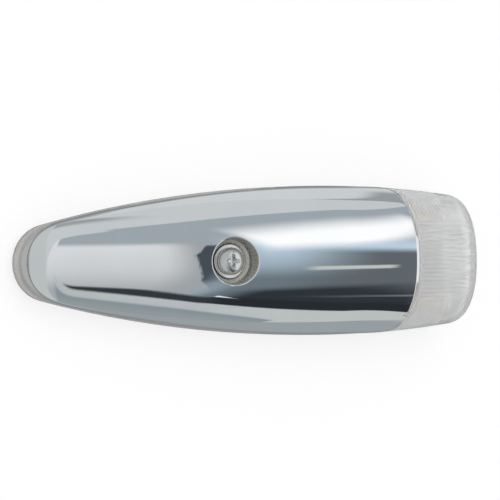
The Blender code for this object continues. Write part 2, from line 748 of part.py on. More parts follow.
def make_bulb(glass, nickel, tungsten):
    origin = (BULB_X, 0.0, BULB_Z)
    cap_start = BULB_LENGTH / 2 - CAP_LENGTH
    neck_radius = CAP_RADIUS - CAP_WALL - GAP
    shoulder = cap_start - GAP
    body_half = shoulder - (BULB_RADIUS - neck_radius)
    outer = [(neck_radius, -shoulder - NECK_LENGTH)]
    for k in range(SHOULDER_STEPS + 1):
        turn = math.pi / 2 * k / SHOULDER_STEPS
        radius = neck_radius + (BULB_RADIUS - neck_radius) * math.sin(turn)
        outer.append((radius, -body_half - (shoulder - body_half) * math.cos(turn)))
    half = outer + [(radius, -height) for radius, height in reversed(outer)]
    inside = [(radius - GLASS_WALL, height) for radius, height in reversed(half)]
    bulb = finish_object("bulb_glass", lying(half + inside, closed=True), glass, origin)

    cone = CAP_RADIUS * CAP_CONE_SHARE
    tip = BULB_LENGTH / 2
    pieces = [bulb]
    for side, sign in SIDES:
        profile = [
            (CAP_RADIUS - cone, tip),
            (CAP_RADIUS, tip - cone),
            (CAP_RADIUS, cap_start),
            (CAP_RADIUS - CAP_WALL, cap_start),
            (CAP_RADIUS - CAP_WALL, tip - cone),
            (CAP_RADIUS - cone - CAP_WALL / 2, tip - CAP_WALL),
        ]
        profile = [(radius, sign * height) for radius, height in profile]
        pieces.append(finish_object(f"bulb_cap_{side}", lying(profile), nickel, origin))

    end = tip - CAP_WALL - GAP
    coil = FILAMENT_COIL_LENGTH / 2
    taper = FILAMENT_COIL_RADIUS
    half = [(FILAMENT_RADIUS, -end), (FILAMENT_RADIUS, -coil - taper), (FILAMENT_COIL_RADIUS, -coil)]
    profile = half + [(radius, -height) for radius, height in reversed(half)]
    pieces.append(finish_object("bulb_filament", lying(profile, FILAMENT_STEPS), tungsten, origin))
    return pieces


def clip_outline():
    """The bent sheet of a bulb clip, seen along Y: the outside, then the inside."""
    tip_z = BULB_Z + CLIP_TIP_ABOVE_AXIS
    flare_z = tip_z - CLIP_FLARE
    inner = CLIP_HALF_GAP
    outer = inner + CLIP_SHEET
    bend = CLIP_BEND_RADIUS
    right = [(outer - bend, CLIP_Z)]
    for k in range(1, BEND_STEPS + 1):
        turn = math.pi / 2 * k / BEND_STEPS
        right.append((outer - bend + bend * math.sin(turn), CLIP_Z + bend - bend * math.cos(turn)))
    right += [
        (outer, flare_z),
        (outer + CLIP_FLARE, tip_z),
        (inner + CLIP_FLARE, tip_z),
        (inner, flare_z),
    ]
    inner_bend = bend - CLIP_SHEET
    for k in range(BEND_STEPS + 1):
        turn = math.pi / 2 * (1 - k / BEND_STEPS)
        across = outer - bend + inner_bend * math.sin(turn)
        right.append((across, CLIP_Z + bend - inner_bend * math.cos(turn)))
    return right + [(-x, z) for x, z in reversed(right)]


def make_contacts(brass, spring, steel):
    pieces = []
    for side, sign in SIDES:
        centre_y = sign * CLIP_Y
        rivet_centre = (BULB_X, centre_y)
        terminal_centre = (TERMINAL_X, centre_y)

        strip = block(
            (STRIP_REAR, centre_y - STRIP_WIDTH / 2, STRIP_Z),
            (STRIP_FRONT, centre_y + STRIP_WIDTH / 2, STRIP_TOP),
        )
        strip = finish_object(f"contact_strip_{side}", strip, brass)
        low = STRIP_Z - CUT_MARGIN
        high = STRIP_TOP + CUT_MARGIN
        for name, radius, centre in (
            ("rivet", RIVET_RADIUS, rivet_centre),
            ("terminal", TERMINAL_RADIUS, terminal_centre),
        ):
            hole = cylinder(radius + GAP, low, high, centre, SMALL_STEPS)
            cut(strip, finish_object(f"cutter_strip_{name}_{side}", hole))

        bm = bmesh.new()
        outline = [(BULB_X + x, z) for x, z in clip_outline()]
        prism(bm, outline, centre_y - CLIP_WIDTH / 2, centre_y + CLIP_WIDTH / 2)
        for vert in bm.verts:
            vert.co = Vector((vert.co.x, vert.co.z, vert.co.y))
        clip = finish_object(f"bulb_clip_{side}", bm, spring)
        low = CLIP_Z - CUT_MARGIN
        hole = cylinder(RIVET_RADIUS + GAP, low, RIVET_HEAD_Z, rivet_centre, SMALL_STEPS)
        cut(clip, finish_object(f"cutter_clip_{side}", hole))

        foot = BASE_TOP - TERMINAL_DEPTH
        rivet = [
            (RIVET_RADIUS, foot),
            (RIVET_RADIUS, RIVET_HEAD_Z),
            (RIVET_HEAD_RADIUS, RIVET_HEAD_Z),
            (RIVET_RADIUS, RIVET_HEAD_Z + RIVET_HEAD_HEIGHT),
        ]
        rivet = finish_object(f"clip_rivet_{side}", turned(rivet, SMALL_STEPS, rivet_centre), brass)

        half = CLAMP_SIDE / 2
        clamp = block(
            (TERMINAL_X - half, centre_y - half, CLAMP_Z),
            (TERMINAL_X + half, centre_y + half, CLAMP_Z + CLAMP_THICKNESS),
        )
        clamp = finish_object(f"terminal_clamp_{side}", clamp, steel)
        low = CLAMP_Z - CUT_MARGIN
        hole = cylinder(TERMINAL_RADIUS + GAP, low, TERMINAL_HEAD_Z, terminal_centre, SMALL_STEPS)
        cut(clamp, finish_object(f"cutter_clamp_{side}", hole))

        top = TERMINAL_HEAD_Z + TERMINAL_HEAD_HEIGHT
        screw = [
            (TERMINAL_RADIUS, foot),
            (TERMINAL_RADIUS, TERMINAL_HEAD_Z),
            (TERMINAL_HEAD_RADIUS, TERMINAL_HEAD_Z),
            (TERMINAL_HEAD_RADIUS, top),
        ]
        screw = turned(screw, SMALL_STEPS, terminal_centre)
        screw = finish_object(f"terminal_screw_{side}", screw, brass)
        reach = TERMINAL_HEAD_RADIUS + CUT_MARGIN
        slot = block(
            (TERMINAL_X - TERMINAL_SLOT_WIDTH / 2, centre_y - reach, top - TERMINAL_SLOT_DEPTH),
            (TERMINAL_X + TERMINAL_SLOT_WIDTH / 2, centre_y + reach, top + CUT_MARGIN),
        )
        cut(screw, finish_object(f"cutter_slot_{side}", slot))
        pieces += [strip, clip, rivet, clamp, screw]
    return pieces


def parent_to(parent, *children):
    """Parents pieces to an empty or a piece, and keeps them where they are."""
    bpy.context.view_layer.update()
    for child in children:
        child.parent = parent
        child.matrix_parent_inverse = parent.matrix_world.inverted()


def make_axis(name, place):
    empty = bpy.data.objects.new(name, None)
    empty.location = place
    empty.empty_display_size = BULB_RADIUS
    bpy.context.scene.collection.objects.link(empty)
    return empty


def main():
    clear_scene()
    chrome = make_material("chrome", (0.80, 0.81, 0.82), 0.06, metallic=1.0)
    clear = make_material("clear_plastic", (0.93, 0.95, 0.95), 0.05, transmission=1.0)
    plastic = make_material("grey_plastic", (0.55, 0.55, 0.53), 0.40)
    foam = make_material("foam", (0.42, 0.42, 0.41), 0.90)
    silicone = make_material("silicone", (0.66, 0.67, 0.67), 0.55)
    rubber = make_material("rubber", (0.03, 0.03, 0.03), 0.70)
    steel = make_material("stainless_steel", (0.62, 0.62, 0.60), 0.25, metallic=1.0)
    brass = make_material("brass", (0.78, 0.60, 0.30), 0.30, metallic=1.0)
    spring = make_material("plated_spring", (0.74, 0.72, 0.68), 0.30, metallic=1.0)
    nickel = make_material("nickel", (0.70, 0.69, 0.66), 0.22, metallic=1.0)
    glass = make_material("bulb_glass", (0.95, 0.96, 0.96), 0.02, transmission=1.0)
    tungsten = make_material("tungsten", (0.30, 0.30, 0.31), 0.45, metallic=1.0)

    make_gasket(foam)
    make_base(plastic)
    make_rim_seal(silicone)
    make_grommet(rubber)
    lens = make_lens(clear)
    cover = make_cover(chrome)
    screw = make_screw(steel)
    seal, washer = make_screw_stack(steel, brass, rubber)
    bulb = make_bulb(glass, nickel, tungsten)
    make_contacts(brass, spring, steel)

    lens_axis = make_axis("lens_axis", (BULB_X, 0.0, RIM_Z))
    cover_axis = make_axis("cover_axis", (SCREW_X, 0.0, RIM_Z))
    bulb_axis = make_axis("bulb_axis", (BULB_X, 0.0, BULB_Z))
    parent_to(lens_axis, lens, cover_axis)
    parent_to(cover_axis, cover, seal, washer)
    parent_to(washer, screw)
    parent_to(bulb_axis, *bulb)


main()
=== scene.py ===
"""Looks of the navigation light: the finish of every piece, the studio and the camera.

Metres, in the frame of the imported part: X runs from the nose to the lens, +Z points out of the boat.
"""

import json
import math

import bmesh
import bpy
from mathutils import Matrix, Vector


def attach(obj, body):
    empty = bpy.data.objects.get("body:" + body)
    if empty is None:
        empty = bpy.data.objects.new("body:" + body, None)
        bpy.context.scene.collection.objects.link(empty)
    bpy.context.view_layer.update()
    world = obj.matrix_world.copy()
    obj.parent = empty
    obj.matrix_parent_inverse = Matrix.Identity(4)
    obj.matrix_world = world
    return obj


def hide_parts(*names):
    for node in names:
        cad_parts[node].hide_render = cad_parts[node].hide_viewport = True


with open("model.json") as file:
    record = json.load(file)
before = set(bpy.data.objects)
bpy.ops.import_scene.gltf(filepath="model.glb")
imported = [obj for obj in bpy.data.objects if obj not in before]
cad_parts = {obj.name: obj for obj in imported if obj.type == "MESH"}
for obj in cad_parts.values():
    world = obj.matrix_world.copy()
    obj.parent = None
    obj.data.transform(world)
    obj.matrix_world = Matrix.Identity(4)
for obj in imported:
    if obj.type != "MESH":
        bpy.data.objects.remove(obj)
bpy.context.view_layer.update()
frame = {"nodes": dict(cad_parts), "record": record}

# Outer form, as in the part's source
LENGTH = 0.1512
HALF_WIDTH = 0.024
WIDEST_X = 0.0289
NOSE_RADIUS = 0.0123
NOSE_EASE = 0.004
AFT_SIDE_RADIUS = 0.311
END_CORNER_RADIUS = 0.0048
LENS_LENGTH = 0.0232
NOSE_LEDGE = 0.0015
RIM_Z = 0.0066
SKIRT_Z = 0.0102
CREST_RISE_AT_LENS = 0.0208
CREST_BOW = 0.0014
NOSE_LIFT = 0.0016
NOSE_LIFT_LENGTH = 0.014
SIDE_EXPONENT = 2.3
LENS_END_EXPONENT = 4.2
LENS_END_ROUND = 0.0103
NOSE_X = -LENGTH / 2
END_X = LENGTH / 2
CUT_X = END_X - LENS_LENGTH
COVER_NOSE_X = NOSE_X + NOSE_LEDGE
CREST_Z = SKIRT_Z + CREST_RISE_AT_LENS

# Forms that only the scene has: flared foot, leaning joint, rounded end and drafted sides
FOOT_INSET = 0.0005
JOINT_LEAN = 0.20
LEAN_REACH = 0.022
EDGE_ROUND = 0.0006
EDGE_HOLD = 0.00006
SIDE_DRAFT = 0.00045
DRAFT_SPAN = (0.1, 0.5)

# Walls, joint and tab
GAP = 0.0003
COVER_WALL = 0.0018
LENS_WALL = 0.0022
LIP_WALL = 0.0014
LIP_INSET = 0.0022
LIP_LENGTH = 0.0040
LIP_X = CUT_X - LIP_LENGTH
STEP_X = CUT_X + GAP + LIP_WALL
TAB_HALF = 0.0072
TAB_LENGTH = 0.0006

# Screw recess and what is in it
SCREW_X = -0.0083
SCREW_AXIS = (SCREW_X, 0.0)
RECESS_RIM = 0.0079
RIM_ROLL = 0.0004
CONE_TOP = RECESS_RIM - RIM_ROLL
CONE_FOOT = 0.0069
DISH_TOP_Z = 0.0186
DISH_FOOT = 0.0056
DISH_FOOT_Z = 0.0179
RECESS_DEPTH = 0.0066
RECESS_FILLET = 0.0002
RECESS_TINT = (0.66, 0.645, 0.60)
RECESS_METALLIC = 0.7
RECESS_ROUGHNESS = 0.27
FADE_OUTSIDE = 0.0002
FADE_INSIDE = 0.0001
CUP_RADIUS = 0.0081
RECESS_FLOOR = 0.0020
SCREW_RADIUS = 0.0025
SCREW_HOLE = SCREW_RADIUS + GAP
SCREW_LENGTH = 0.0102
HEAD_RADIUS = 0.0044
HEAD_HEIGHT = 0.0026
HEAD_EDGE = 0.00065
HEAD_FLAT = 0.30
WASHER_RADIUS = 0.0054
WASHER_THICKNESS = 0.0008
SEAL_THICKNESS = 0.0006

# Bulb
BULB_FROM_END = 0.0090
BULB_X = END_X - BULB_FROM_END
BULB_Z = 0.0130
BULB_RADIUS = 0.0050
BULB_HALF = 0.0155
CAP_RADIUS = 0.0035
CAP_LENGTH = 0.0059

# Mesh fineness
WALK_STEP = 0.0001
FORE_STATIONS = 96
AFT_STATIONS = 20
ARCH_COLUMNS = 44
HOLE_REACH = 0.0125
HOLE_RINGS = 7
NUDGE = 0.0001
MOUTH_RINGS = 10
EDGE_STEPS = 5
ROUND_STEPS = 72
STATION_CROWDING = 1.6
HALVINGS = 40
CORNER_REACH = 0.45
WELD = 1e-7
TOUCHING = 1e-6

# First guesses for the fit of the outline: where its curvature changes, and the curvature of its side
FIRST_TURN = 0.0163
FIRST_CURVATURE = 2.6
TURN_NUDGE = 1e-5
CURVATURE_NUDGE = 1e-3
FIT_ROUNDS = 6


# Outline and domed form


def walk_outline(nose_x, turn_at, side_curvature):
    """The plan outline from the nose to the widest place, as (x, y, heading) at even steps.

    The curvature eases from the nose's to the side's, so that reflections run over it without a kink.
    """
    x, y, heading, walked = nose_x, 0.0, math.pi / 2, 0.0
    track = [(x, y, heading)]
    curvature = 1 / NOSE_RADIUS
    while heading > 0:
        share = 0.5 * (1 - math.tanh((walked + WALK_STEP / 2 - turn_at) / NOSE_EASE))
        curvature = side_curvature + (1 / NOSE_RADIUS - side_curvature) * share
        middle = heading - curvature * WALK_STEP / 2
        x += math.cos(middle) * WALK_STEP
        y += math.sin(middle) * WALK_STEP
        heading -= curvature * WALK_STEP
        walked += WALK_STEP
        track.append((x, y, heading))
    return track, (x + heading / curvature, y)


def fit_outline(nose_x):
    """The outline from that nose which reaches the light's half width at its widest place."""
    values = [FIRST_TURN, FIRST_CURVATURE]
    nudges = (TURN_NUDGE, CURVATURE_NUDGE)

    def miss(turn_at, curvature):
        end_x, end_y = walk_outline(nose_x, turn_at, curvature)[1]
        return end_x - WIDEST_X, end_y - HALF_WIDTH

    for _ in range(FIT_ROUNDS):
        here = miss(*values)
        columns = []
        for k, nudge in enumerate(nudges):
            moved = list(values)
            moved[k] += nudge
            there = miss(*moved)
            columns.append([(there[i] - here[i]) / nudge for i in range(2)])
        (a, c), (b, d) = columns
        determinant = a * d - b * c
        values[0] -= (d * here[0] - b * here[1]) / determinant
        values[1] -= (a * here[1] - c * here[0]) / determinant
    return walk_outline(nose_x, *values)[0]


COVER_TRACK = fit_outline(COVER_NOSE_X)
FOOT_TRACK = fit_outline(NOSE_X)


def fore_station(share, inset, track=COVER_TRACK):
    """(x, half width) at a share of the way along an outline, offset inwards."""
    place = share * (len(track) - 1)
    first = min(int(place), len(track) - 2)
    part = place - first
    x, y, heading = (a + (b - a) * part for a, b in zip(track[first], track[first + 1]))
    return x + inset * math.sin(heading), max(y - inset * math.cos(heading), 0.0)


def aft_half_width(x, inset):
    radius = AFT_SIDE_RADIUS - inset
    return math.sqrt(radius**2 - (x - WIDEST_X) ** 2) + HALF_WIDTH - AFT_SIDE_RADIUS


def lens_half_width(x, inset):
    centre_x = END_X - END_CORNER_RADIUS
    reach = AFT_SIDE_RADIUS - END_CORNER_RADIUS
    meet = math.asin((centre_x - WIDEST_X) / reach)
    centre_y = HALF_WIDTH - AFT_SIDE_RADIUS + reach * math.cos(meet)
    radius = END_CORNER_RADIUS - inset
    if x < centre_x + radius * math.sin(meet):
        return aft_half_width(x, inset)
    return centre_y + math.sqrt(max(radius**2 - (x - centre_x) ** 2, 0.0))


def crest_rise(x):
    start = min((x - COVER_NOSE_X) / NOSE_LIFT_LENGTH, 1.0)
    lift = NOSE_LIFT * (1 - (1 - start) ** 3)
    t = (x - COVER_NOSE_X) / (CUT_X - COVER_NOSE_X)
    return lift + (CREST_RISE_AT_LENS - NOSE_LIFT) * t + 4 * CREST_BOW * t * (1 - t)


def round_over(share, exponent):
    return max(1 - abs(share) ** exponent, 0.0) ** (1 / exponent)


def smooth_step(low, high, value):
    """Goes from 0 at low to 1 at high, whichever of them is the larger."""
    t = min(max((value - low) / (high - low), 0.0), 1.0)
    return t * t * (3 - 2 * t)


def quarter_turns(steps, first=0):
    """Even angles up to a quarter of a turn."""
    return [math.pi / 2 * k / steps for k in range(first, steps + 1)]


def arch_height(rise, inset, share):
    return SKIRT_Z - inset + rise * round_over(share, SIDE_EXPONENT)


def with_feet(row, foot_x, foot_half):
    """A section's points between its two feet on the rim."""
    return [Vector((foot_x, foot_half, RIM_Z)), *row, Vector((foot_x, -foot_half, RIM_Z))]


def dome_station(share, inset):
    """(x, half width) of the dome over the skirt: outside, the skirt leans in a little along its sides."""
    draft = 0.0 if inset else SIDE_DRAFT * smooth_step(*DRAFT_SPAN, share)
    return fore_station(share, inset + draft)


def fore_row(share, inset, shares):
    """A section between the nose and the widest place; outside, its foot flares to the base's edge."""
    x, half = dome_station(share, inset)
    rise = crest_rise(x) if share else 0.0
    row = [Vector((x, half * s, arch_height(rise, inset, s))) for s in shares]
    if inset:
        return with_feet(row, x, half)
    return with_feet(row, *fore_station(share, FOOT_INSET * (1 - share), FOOT_TRACK))


def leaning_row(x, inset, shares, width, rise, lean_share, draft=0.0):
    """A section that leans with the joint of cover and lens: its feet stand forward of its crest."""

    def place(height):
        return x - lean_share * JOINT_LEAN * (CREST_Z - height)

    row = []
    for s in shares:
        at = place(arch_height(rise(x, inset), inset, s))
        row.append(Vector((at, width(at, inset + draft) * s, arch_height(rise(at, inset), inset, s))))
    foot = place(RIM_Z)
    return with_feet(row, foot, width(foot, inset))


def cover_rows(inset, shares):
    """The cover's sections from its nose to its end; outside, the end's edge is rounded."""

    def aft_row(x, depth):
        lean_share = smooth_step(CUT_X - LEAN_REACH, CUT_X, x)
        draft = 0.0 if inset else SIDE_DRAFT * smooth_step(CUT_X, WIDEST_X, x)
        return leaning_row(x, depth, shares, aft_half_width, lambda at, _: crest_rise(at), lean_share, draft)

    places = [(k / FORE_STATIONS) ** STATION_CROWDING for k in range(FORE_STATIONS + 1)]
    rows = [fore_row(place, inset, shares) for place in places]
    straight = CUT_X - EDGE_ROUND
    for k in range(1, AFT_STATIONS + 1):
        rows.append(aft_row(WIDEST_X + (straight - EDGE_HOLD - WIDEST_X) * k / AFT_STATIONS, inset))
    rows.append(aft_row(straight, inset))
    for turn in quarter_turns(EDGE_STEPS, 1):
        drop = 0.0 if inset else EDGE_ROUND * (1 - math.cos(turn))
        row = aft_row(straight + EDGE_ROUND * math.sin(turn), inset + drop)
        for point in row:
            if abs(point.y) < TAB_HALF and point.z > BULB_Z:
                point.x += TAB_LENGTH
        rows.append(row)
    return rows


def cover_height(x, y, inset):
    """Height of the cover's surface near the screw recess."""
    low, high = 0.0, 1.0
    for _ in range(HALVINGS):
        middle = (low + high) / 2
        if dome_station(middle, inset)[0] < x:
            low = middle
        else:
            high = middle
    return arch_height(crest_rise(x), inset, y / dome_station(low, inset)[1])


# Mesh helpers


def add_object(name, data):
    obj = bpy.data.objects.new(name, data)
    bpy.context.scene.collection.objects.link(obj)
    return obj


def make_piece(name, bm, material, body, slot, *nodes, smooth_angle=40.0):
    """Makes a piece of a bmesh, lets it ride on a body and stand for CAD nodes."""
    bmesh.ops.remove_doubles(bm, verts=bm.verts, dist=WELD)
    bmesh.ops.recalc_face_normals(bm, faces=bm.faces)
    mesh = bpy.data.meshes.new(name)
    bm.to_mesh(mesh)
    bm.free()
    mesh.shade_smooth()
    mesh.set_sharp_from_angle(angle=math.radians(smooth_angle))
    mesh.materials.append(material)
    piece = add_object(name, mesh)
    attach(piece, body)
    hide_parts(*nodes)
    return piece


def skin(bm, rows, hole=((0, 0), (0, 0))):
    """Quads between rows of vertices of the same count, without those of a block of rows and columns."""
    (first, last), (left, right) = hole
    for i, (row, following) in enumerate(zip(rows, rows[1:])):
        for j in range(len(row) - 1):
            if not (first <= i < last and left <= j < right):
                bm.faces.new((row[j], row[j + 1], following[j + 1], following[j]))


def hoop(bm, rings, capped=False):
    """Quads between closed rings of vertices of the same count, and a face over each end if capped."""
    if capped:
        bm.faces.new(rings[0])
        bm.faces.new(rings[-1])
    for ring, following in zip(rings, rings[1:]):
        for k in range(len(ring)):
            after = (k + 1) % len(ring)
            bm.faces.new((ring[k], ring[after], following[after], following[k]))


def ease_edges(bm, chosen, width, segments=2):
    """Rounds the chosen sharp edges."""
    edges = [e for e in bm.edges if len(e.link_faces) == 2 and chosen(e)]
    bmesh.ops.bevel(bm, geom=edges, offset=width, segments=segments, profile=0.5, affect="EDGES")


def circle(bm, angles, radius, height, centre=SCREW_AXIS):
    """A ring of vertices; height is a number or a function of (x, y)."""
    ring = []
    for angle in angles:
        x = centre[0] + radius * math.cos(angle)
        y = centre[1] + radius * math.sin(angle)
        ring.append(bm.verts.new((x, y, height(x, y) if callable(height) else height)))
    return ring


def turned(profile, centre=SCREW_AXIS, steps=ROUND_STEPS, closed=False):
    """A surface of revolution about an upright axis, through a list of (radius, height)."""
    bm = bmesh.new()
    angles = [2 * math.pi * k / steps for k in range(steps)]
    rings = [circle(bm, angles, radius, height, centre) for radius, height in profile]
    if closed:
        rings.append(rings[0])
    hoop(bm, rings, capped=not closed)
    return bm


def rounded(profile, radius, segments=4, closed=True):
    """The profile with its corners rounded; an open one keeps its two ends."""
    result = []
    count = len(profile)
    for k in range(count):
        if not closed and k in (0, count - 1):
            result.append(profile[k])
            continue
        here = Vector(profile[k])
        before = Vector(profile[k - 1]) - here
        after = Vector(profile[(k + 1) % count]) - here
        reach = min(radius, CORNER_REACH * before.length, CORNER_REACH * after.length)
        start = here + before.normalized() * reach
        end = here + after.normalized() * reach
        for s in range(segments + 1):
            t = s / segments
            result.append(tuple(start * (1 - t) ** 2 + here * 2 * t * (1 - t) + end * t**2))
    return result


# Materials


EVEN = (1.0, 1.0, 1.0)
NOISE_DETAIL = 4.0
NOISE_ROUGHNESS = 0.55
COLOUR_SPAN = (0.3, 0.7)
WEAR_SPAN = (0.25, 0.75)


def nodes_of(owner):
    tree = owner.node_tree
    return tree.nodes, tree.links


def new_material(name):
    """A material, its nodes and its links."""
    material = bpy.data.materials.new(name)
    material.use_nodes = True
    return material, *nodes_of(material)


def add_noise(material, scale, stretch=EVEN):
    """A noise texture in the object's own space."""
    nodes, links = nodes_of(material)
    place = nodes.new("ShaderNodeTexCoord").outputs["Object"]
    mapping = nodes.new("ShaderNodeMapping")
    mapping.inputs["Scale"].default_value = stretch
    noise = nodes.new("ShaderNodeTexNoise")
    noise.inputs["Scale"].default_value = scale
    noise.inputs["Detail"].default_value = NOISE_DETAIL
    noise.inputs["Roughness"].default_value = NOISE_ROUGHNESS
    links.new(place, mapping.inputs["Vector"])
    links.new(mapping.outputs["Vector"], noise.inputs["Vector"])
    return noise.outputs["Fac"]


def add_ramp(material, value, dark, light):
    """Turns noise into a colour between two others."""
    nodes, links = nodes_of(material)
    ramp = nodes.new("ShaderNodeValToRGB")
    for element, position, colour in zip(ramp.color_ramp.elements, COLOUR_SPAN, (dark, light)):
        element.position = position
        element.color = (*colour, 1.0)
    links.new(value, ramp.inputs["Fac"])
    return ramp.outputs["Color"]


def add_map(owner, value, span, result, smooth=False):
    """Maps a socket's value from one span to another."""
    nodes, links = nodes_of(owner)
    node = nodes.new("ShaderNodeMapRange")
    node.interpolation_type = "SMOOTHSTEP" if smooth else "LINEAR"
    for name, number in zip(("From Min", "From Max", "To Min", "To Max"), (*span, *result)):
        node.inputs[name].default_value = number
    links.new(value, node.inputs["Value"])
    return node.outputs["Result"]


def make_finish(name, dark, light, rough, tone, wear, relief, metallic=0.0, stretch=EVEN, **sockets):
    """A Principled finish whose colour, roughness and relief come from noise.

    tone and wear are the scales of the noise for colour and roughness, and stretch goes with wear.
    relief is the scale of the noise for the bump, and the bump's strength and height.
    """
    material, nodes, links = new_material(name)
    shader = nodes["Principled BSDF"]
    colour = add_ramp(material, add_noise(material, tone), dark, light)
    links.new(colour, shader.inputs["Base Color"])
    roughness = add_map(material, add_noise(material, wear, stretch), WEAR_SPAN, rough)
    links.new(roughness, shader.inputs["Roughness"])
    scale, strength, height = relief
    bump = nodes.new("ShaderNodeBump")
    bump.inputs["Strength"].default_value = strength
    bump.inputs["Distance"].default_value = height
    links.new(add_noise(material, scale), bump.inputs["Height"])
    links.new(bump.outputs["Normal"], shader.inputs["Normal"])
    shader.inputs["Metallic"].default_value = metallic
    for socket, value in sockets.items():
        shader.inputs[socket.replace("_", " ")].default_value = value
    return material


CHROME = make_finish(
    "chrome", (0.90, 0.905, 0.91), (0.94, 0.945, 0.95), (0.0, 0.02),
    tone=60, wear=220, relief=(90, 0.02, 0.0002), metallic=1.0, stretch=(0.25, 1.0, 1.0),
)
CLEAR = make_finish(
    "clear_plastic", (0.97, 0.98, 0.98), (1.0, 1.0, 1.0), (0.04, 0.08),
    tone=80, wear=150, relief=(120, 0.03, 0.0002), Transmission_Weight=0.67, IOR=1.49,
)
PLASTIC = make_finish(
    "grey_plastic", (0.44, 0.435, 0.42), (0.50, 0.495, 0.48), (0.26, 0.38),
    tone=120, wear=400, relief=(1500, 0.05, 0.0001),
)
FOAM = make_finish(
    "foam", (0.36, 0.36, 0.35), (0.46, 0.46, 0.45), (0.80, 0.95),
    tone=1500, wear=900, relief=(2200, 0.6, 0.0003),
)
SILICONE = make_finish(
    "silicone", (0.61, 0.62, 0.62), (0.70, 0.71, 0.71), (0.45, 0.62),
    tone=300, wear=500, relief=(1500, 0.15, 0.0001),
)
RUBBER = make_finish(
    "rubber", (0.018, 0.018, 0.019), (0.032, 0.032, 0.034), (0.45, 0.65),
    tone=400, wear=600, relief=(1800, 0.2, 0.0001),
)
STEEL = make_finish(
    "stainless_steel", (0.72, 0.715, 0.70), (0.80, 0.795, 0.785), (0.14, 0.26),
    tone=150, wear=500, relief=(900, 0.03, 0.0001), metallic=1.0,
)
BRASS = make_finish(
    "brass", (0.66, 0.47, 0.20), (0.78, 0.58, 0.28), (0.18, 0.34),
    tone=250, wear=700, relief=(900, 0.06, 0.0001), metallic=1.0,
)
PLATED = make_finish(
    "plated_spring", (0.78, 0.76, 0.73), (0.86, 0.84, 0.81), (0.22, 0.36),
    tone=250, wear=700, relief=(900, 0.06, 0.0001), metallic=1.0,
)
NICKEL = make_finish(
    "nickel", (0.80, 0.79, 0.77), (0.88, 0.87, 0.85), (0.16, 0.30),
    tone=300, wear=800, relief=(900, 0.05, 0.0001), metallic=1.0,
)
GLASS = make_finish(
    "bulb_glass", (0.97, 0.98, 0.98), (1.0, 1.0, 1.0), (0.0, 0.02),
    tone=100, wear=200, relief=(150, 0.02, 0.0001), Transmission_Weight=1.0, IOR=1.5,
)
TUNGSTEN = make_finish(
    "tungsten", (0.24, 0.24, 0.25), (0.34, 0.34, 0.35), (0.30, 0.45),
    tone=900, wear=900, relief=(2000, 0.1, 0.00005), metallic=1.0,
)

# Heights and lengths between which the painted shade in the corner of the nose fades in and out
CREASE_FOOT = (0.00990, 0.01005)
CREASE_TOP = (0.01060, 0.01035)
CREASE_NOSE = (-0.045, -0.058)
CREASE_BREAKUP_SCALE = 700
CREASE_SHARE = (0.55, 1.0)
CREASE_SHADE_TINT = (0.34, 0.33, 0.31)


def add_math(owner, operation, first, second):
    """Combines two sockets, or a socket and a number."""
    nodes, links = nodes_of(owner)
    node = nodes.new("ShaderNodeMath")
    node.operation = operation
    links.new(first, node.inputs[0])
    if isinstance(second, (int, float)):
        node.inputs[1].default_value = second
    else:
        links.new(second, node.inputs[1])
    return node.outputs["Value"]


def add_step(material, value, low, high):
    """Rises smoothly from 0 to 1; falls if low is above high."""
    if low < high:
        return add_map(material, value, (low, high), (0.0, 1.0), smooth=True)
    return add_map(material, value, (high, low), (1.0, 0.0), smooth=True)


def add_mix(material, share, under, colour, blend="MIX"):
    """Lays a colour over a socket's colour where share is 1."""
    nodes, links = nodes_of(material)
    mix = nodes.new("ShaderNodeMix")
    mix.data_type = "RGBA"
    mix.blend_type = blend
    links.new(share, mix.inputs["Factor"])
    links.new(under, mix.inputs[6])
    mix.inputs[7].default_value = (*colour, 1.0)
    return mix.outputs[2]


def tint(material, share, colour):
    """Multiplies the base colour by another where share is 1."""
    nodes, links = nodes_of(material)
    base = nodes["Principled BSDF"].inputs["Base Color"]
    links.new(add_mix(material, share, base.links[0].from_socket, colour, "MULTIPLY"), base)


def dull_recess(material):
    """Leaves the inside of the screw recess warmer and less bright than the polished outside."""
    nodes, links = nodes_of(material)
    rough = nodes["Principled BSDF"].inputs["Roughness"]
    polished = rough.links[0].from_socket
    place = nodes.new("ShaderNodeTexCoord").outputs["Object"]
    flat = nodes.new("ShaderNodeMapping")
    flat.inputs["Location"].default_value = (-SCREW_X, 0.0, 0.0)
    flat.inputs["Scale"].default_value = (1.0, 1.0, 0.0)
    reach = nodes.new("ShaderNodeVectorMath")
    reach.operation = "LENGTH"
    links.new(place, flat.inputs["Vector"])
    links.new(flat.outputs["Vector"], reach.inputs[0])
    inside = add_step(material, reach.outputs["Value"], CONE_TOP + FADE_OUTSIDE, CONE_TOP - FADE_INSIDE)
    dull = add_math(material, "MULTIPLY", inside, RECESS_ROUGHNESS)
    links.new(add_math(material, "MAXIMUM", polished, dull), rough)
    tint(material, inside, RECESS_TINT)
    metallic = add_map(material, inside, (0.0, 1.0), (1.0, RECESS_METALLIC))
    links.new(metallic, nodes["Principled BSDF"].inputs["Metallic"])


def paint_crease_shade(material):
    """Painted shade in the corner where the nose's skirt meets its dome, broken up by noise."""
    nodes, links = nodes_of(material)
    axes = nodes.new("ShaderNodeSeparateXYZ")
    links.new(nodes.new("ShaderNodeTexCoord").outputs["Object"], axes.inputs["Vector"])
    x, z = axes.outputs["X"], axes.outputs["Z"]
    corner = add_step(material, z, *CREASE_FOOT)
    for value, span in ((z, CREASE_TOP), (x, CREASE_NOSE)):
        corner = add_math(material, "MULTIPLY", corner, add_step(material, value, *span))
    broken = add_map(material, add_noise(material, CREASE_BREAKUP_SCALE), WEAR_SPAN, CREASE_SHARE)
    # Painted shade: the chrome's colour is darkened along the crease
    tint(material, add_math(material, "MULTIPLY", corner, broken), CREASE_SHADE_TINT)


dull_recess(CHROME)
paint_crease_shade(CHROME)

# Cover

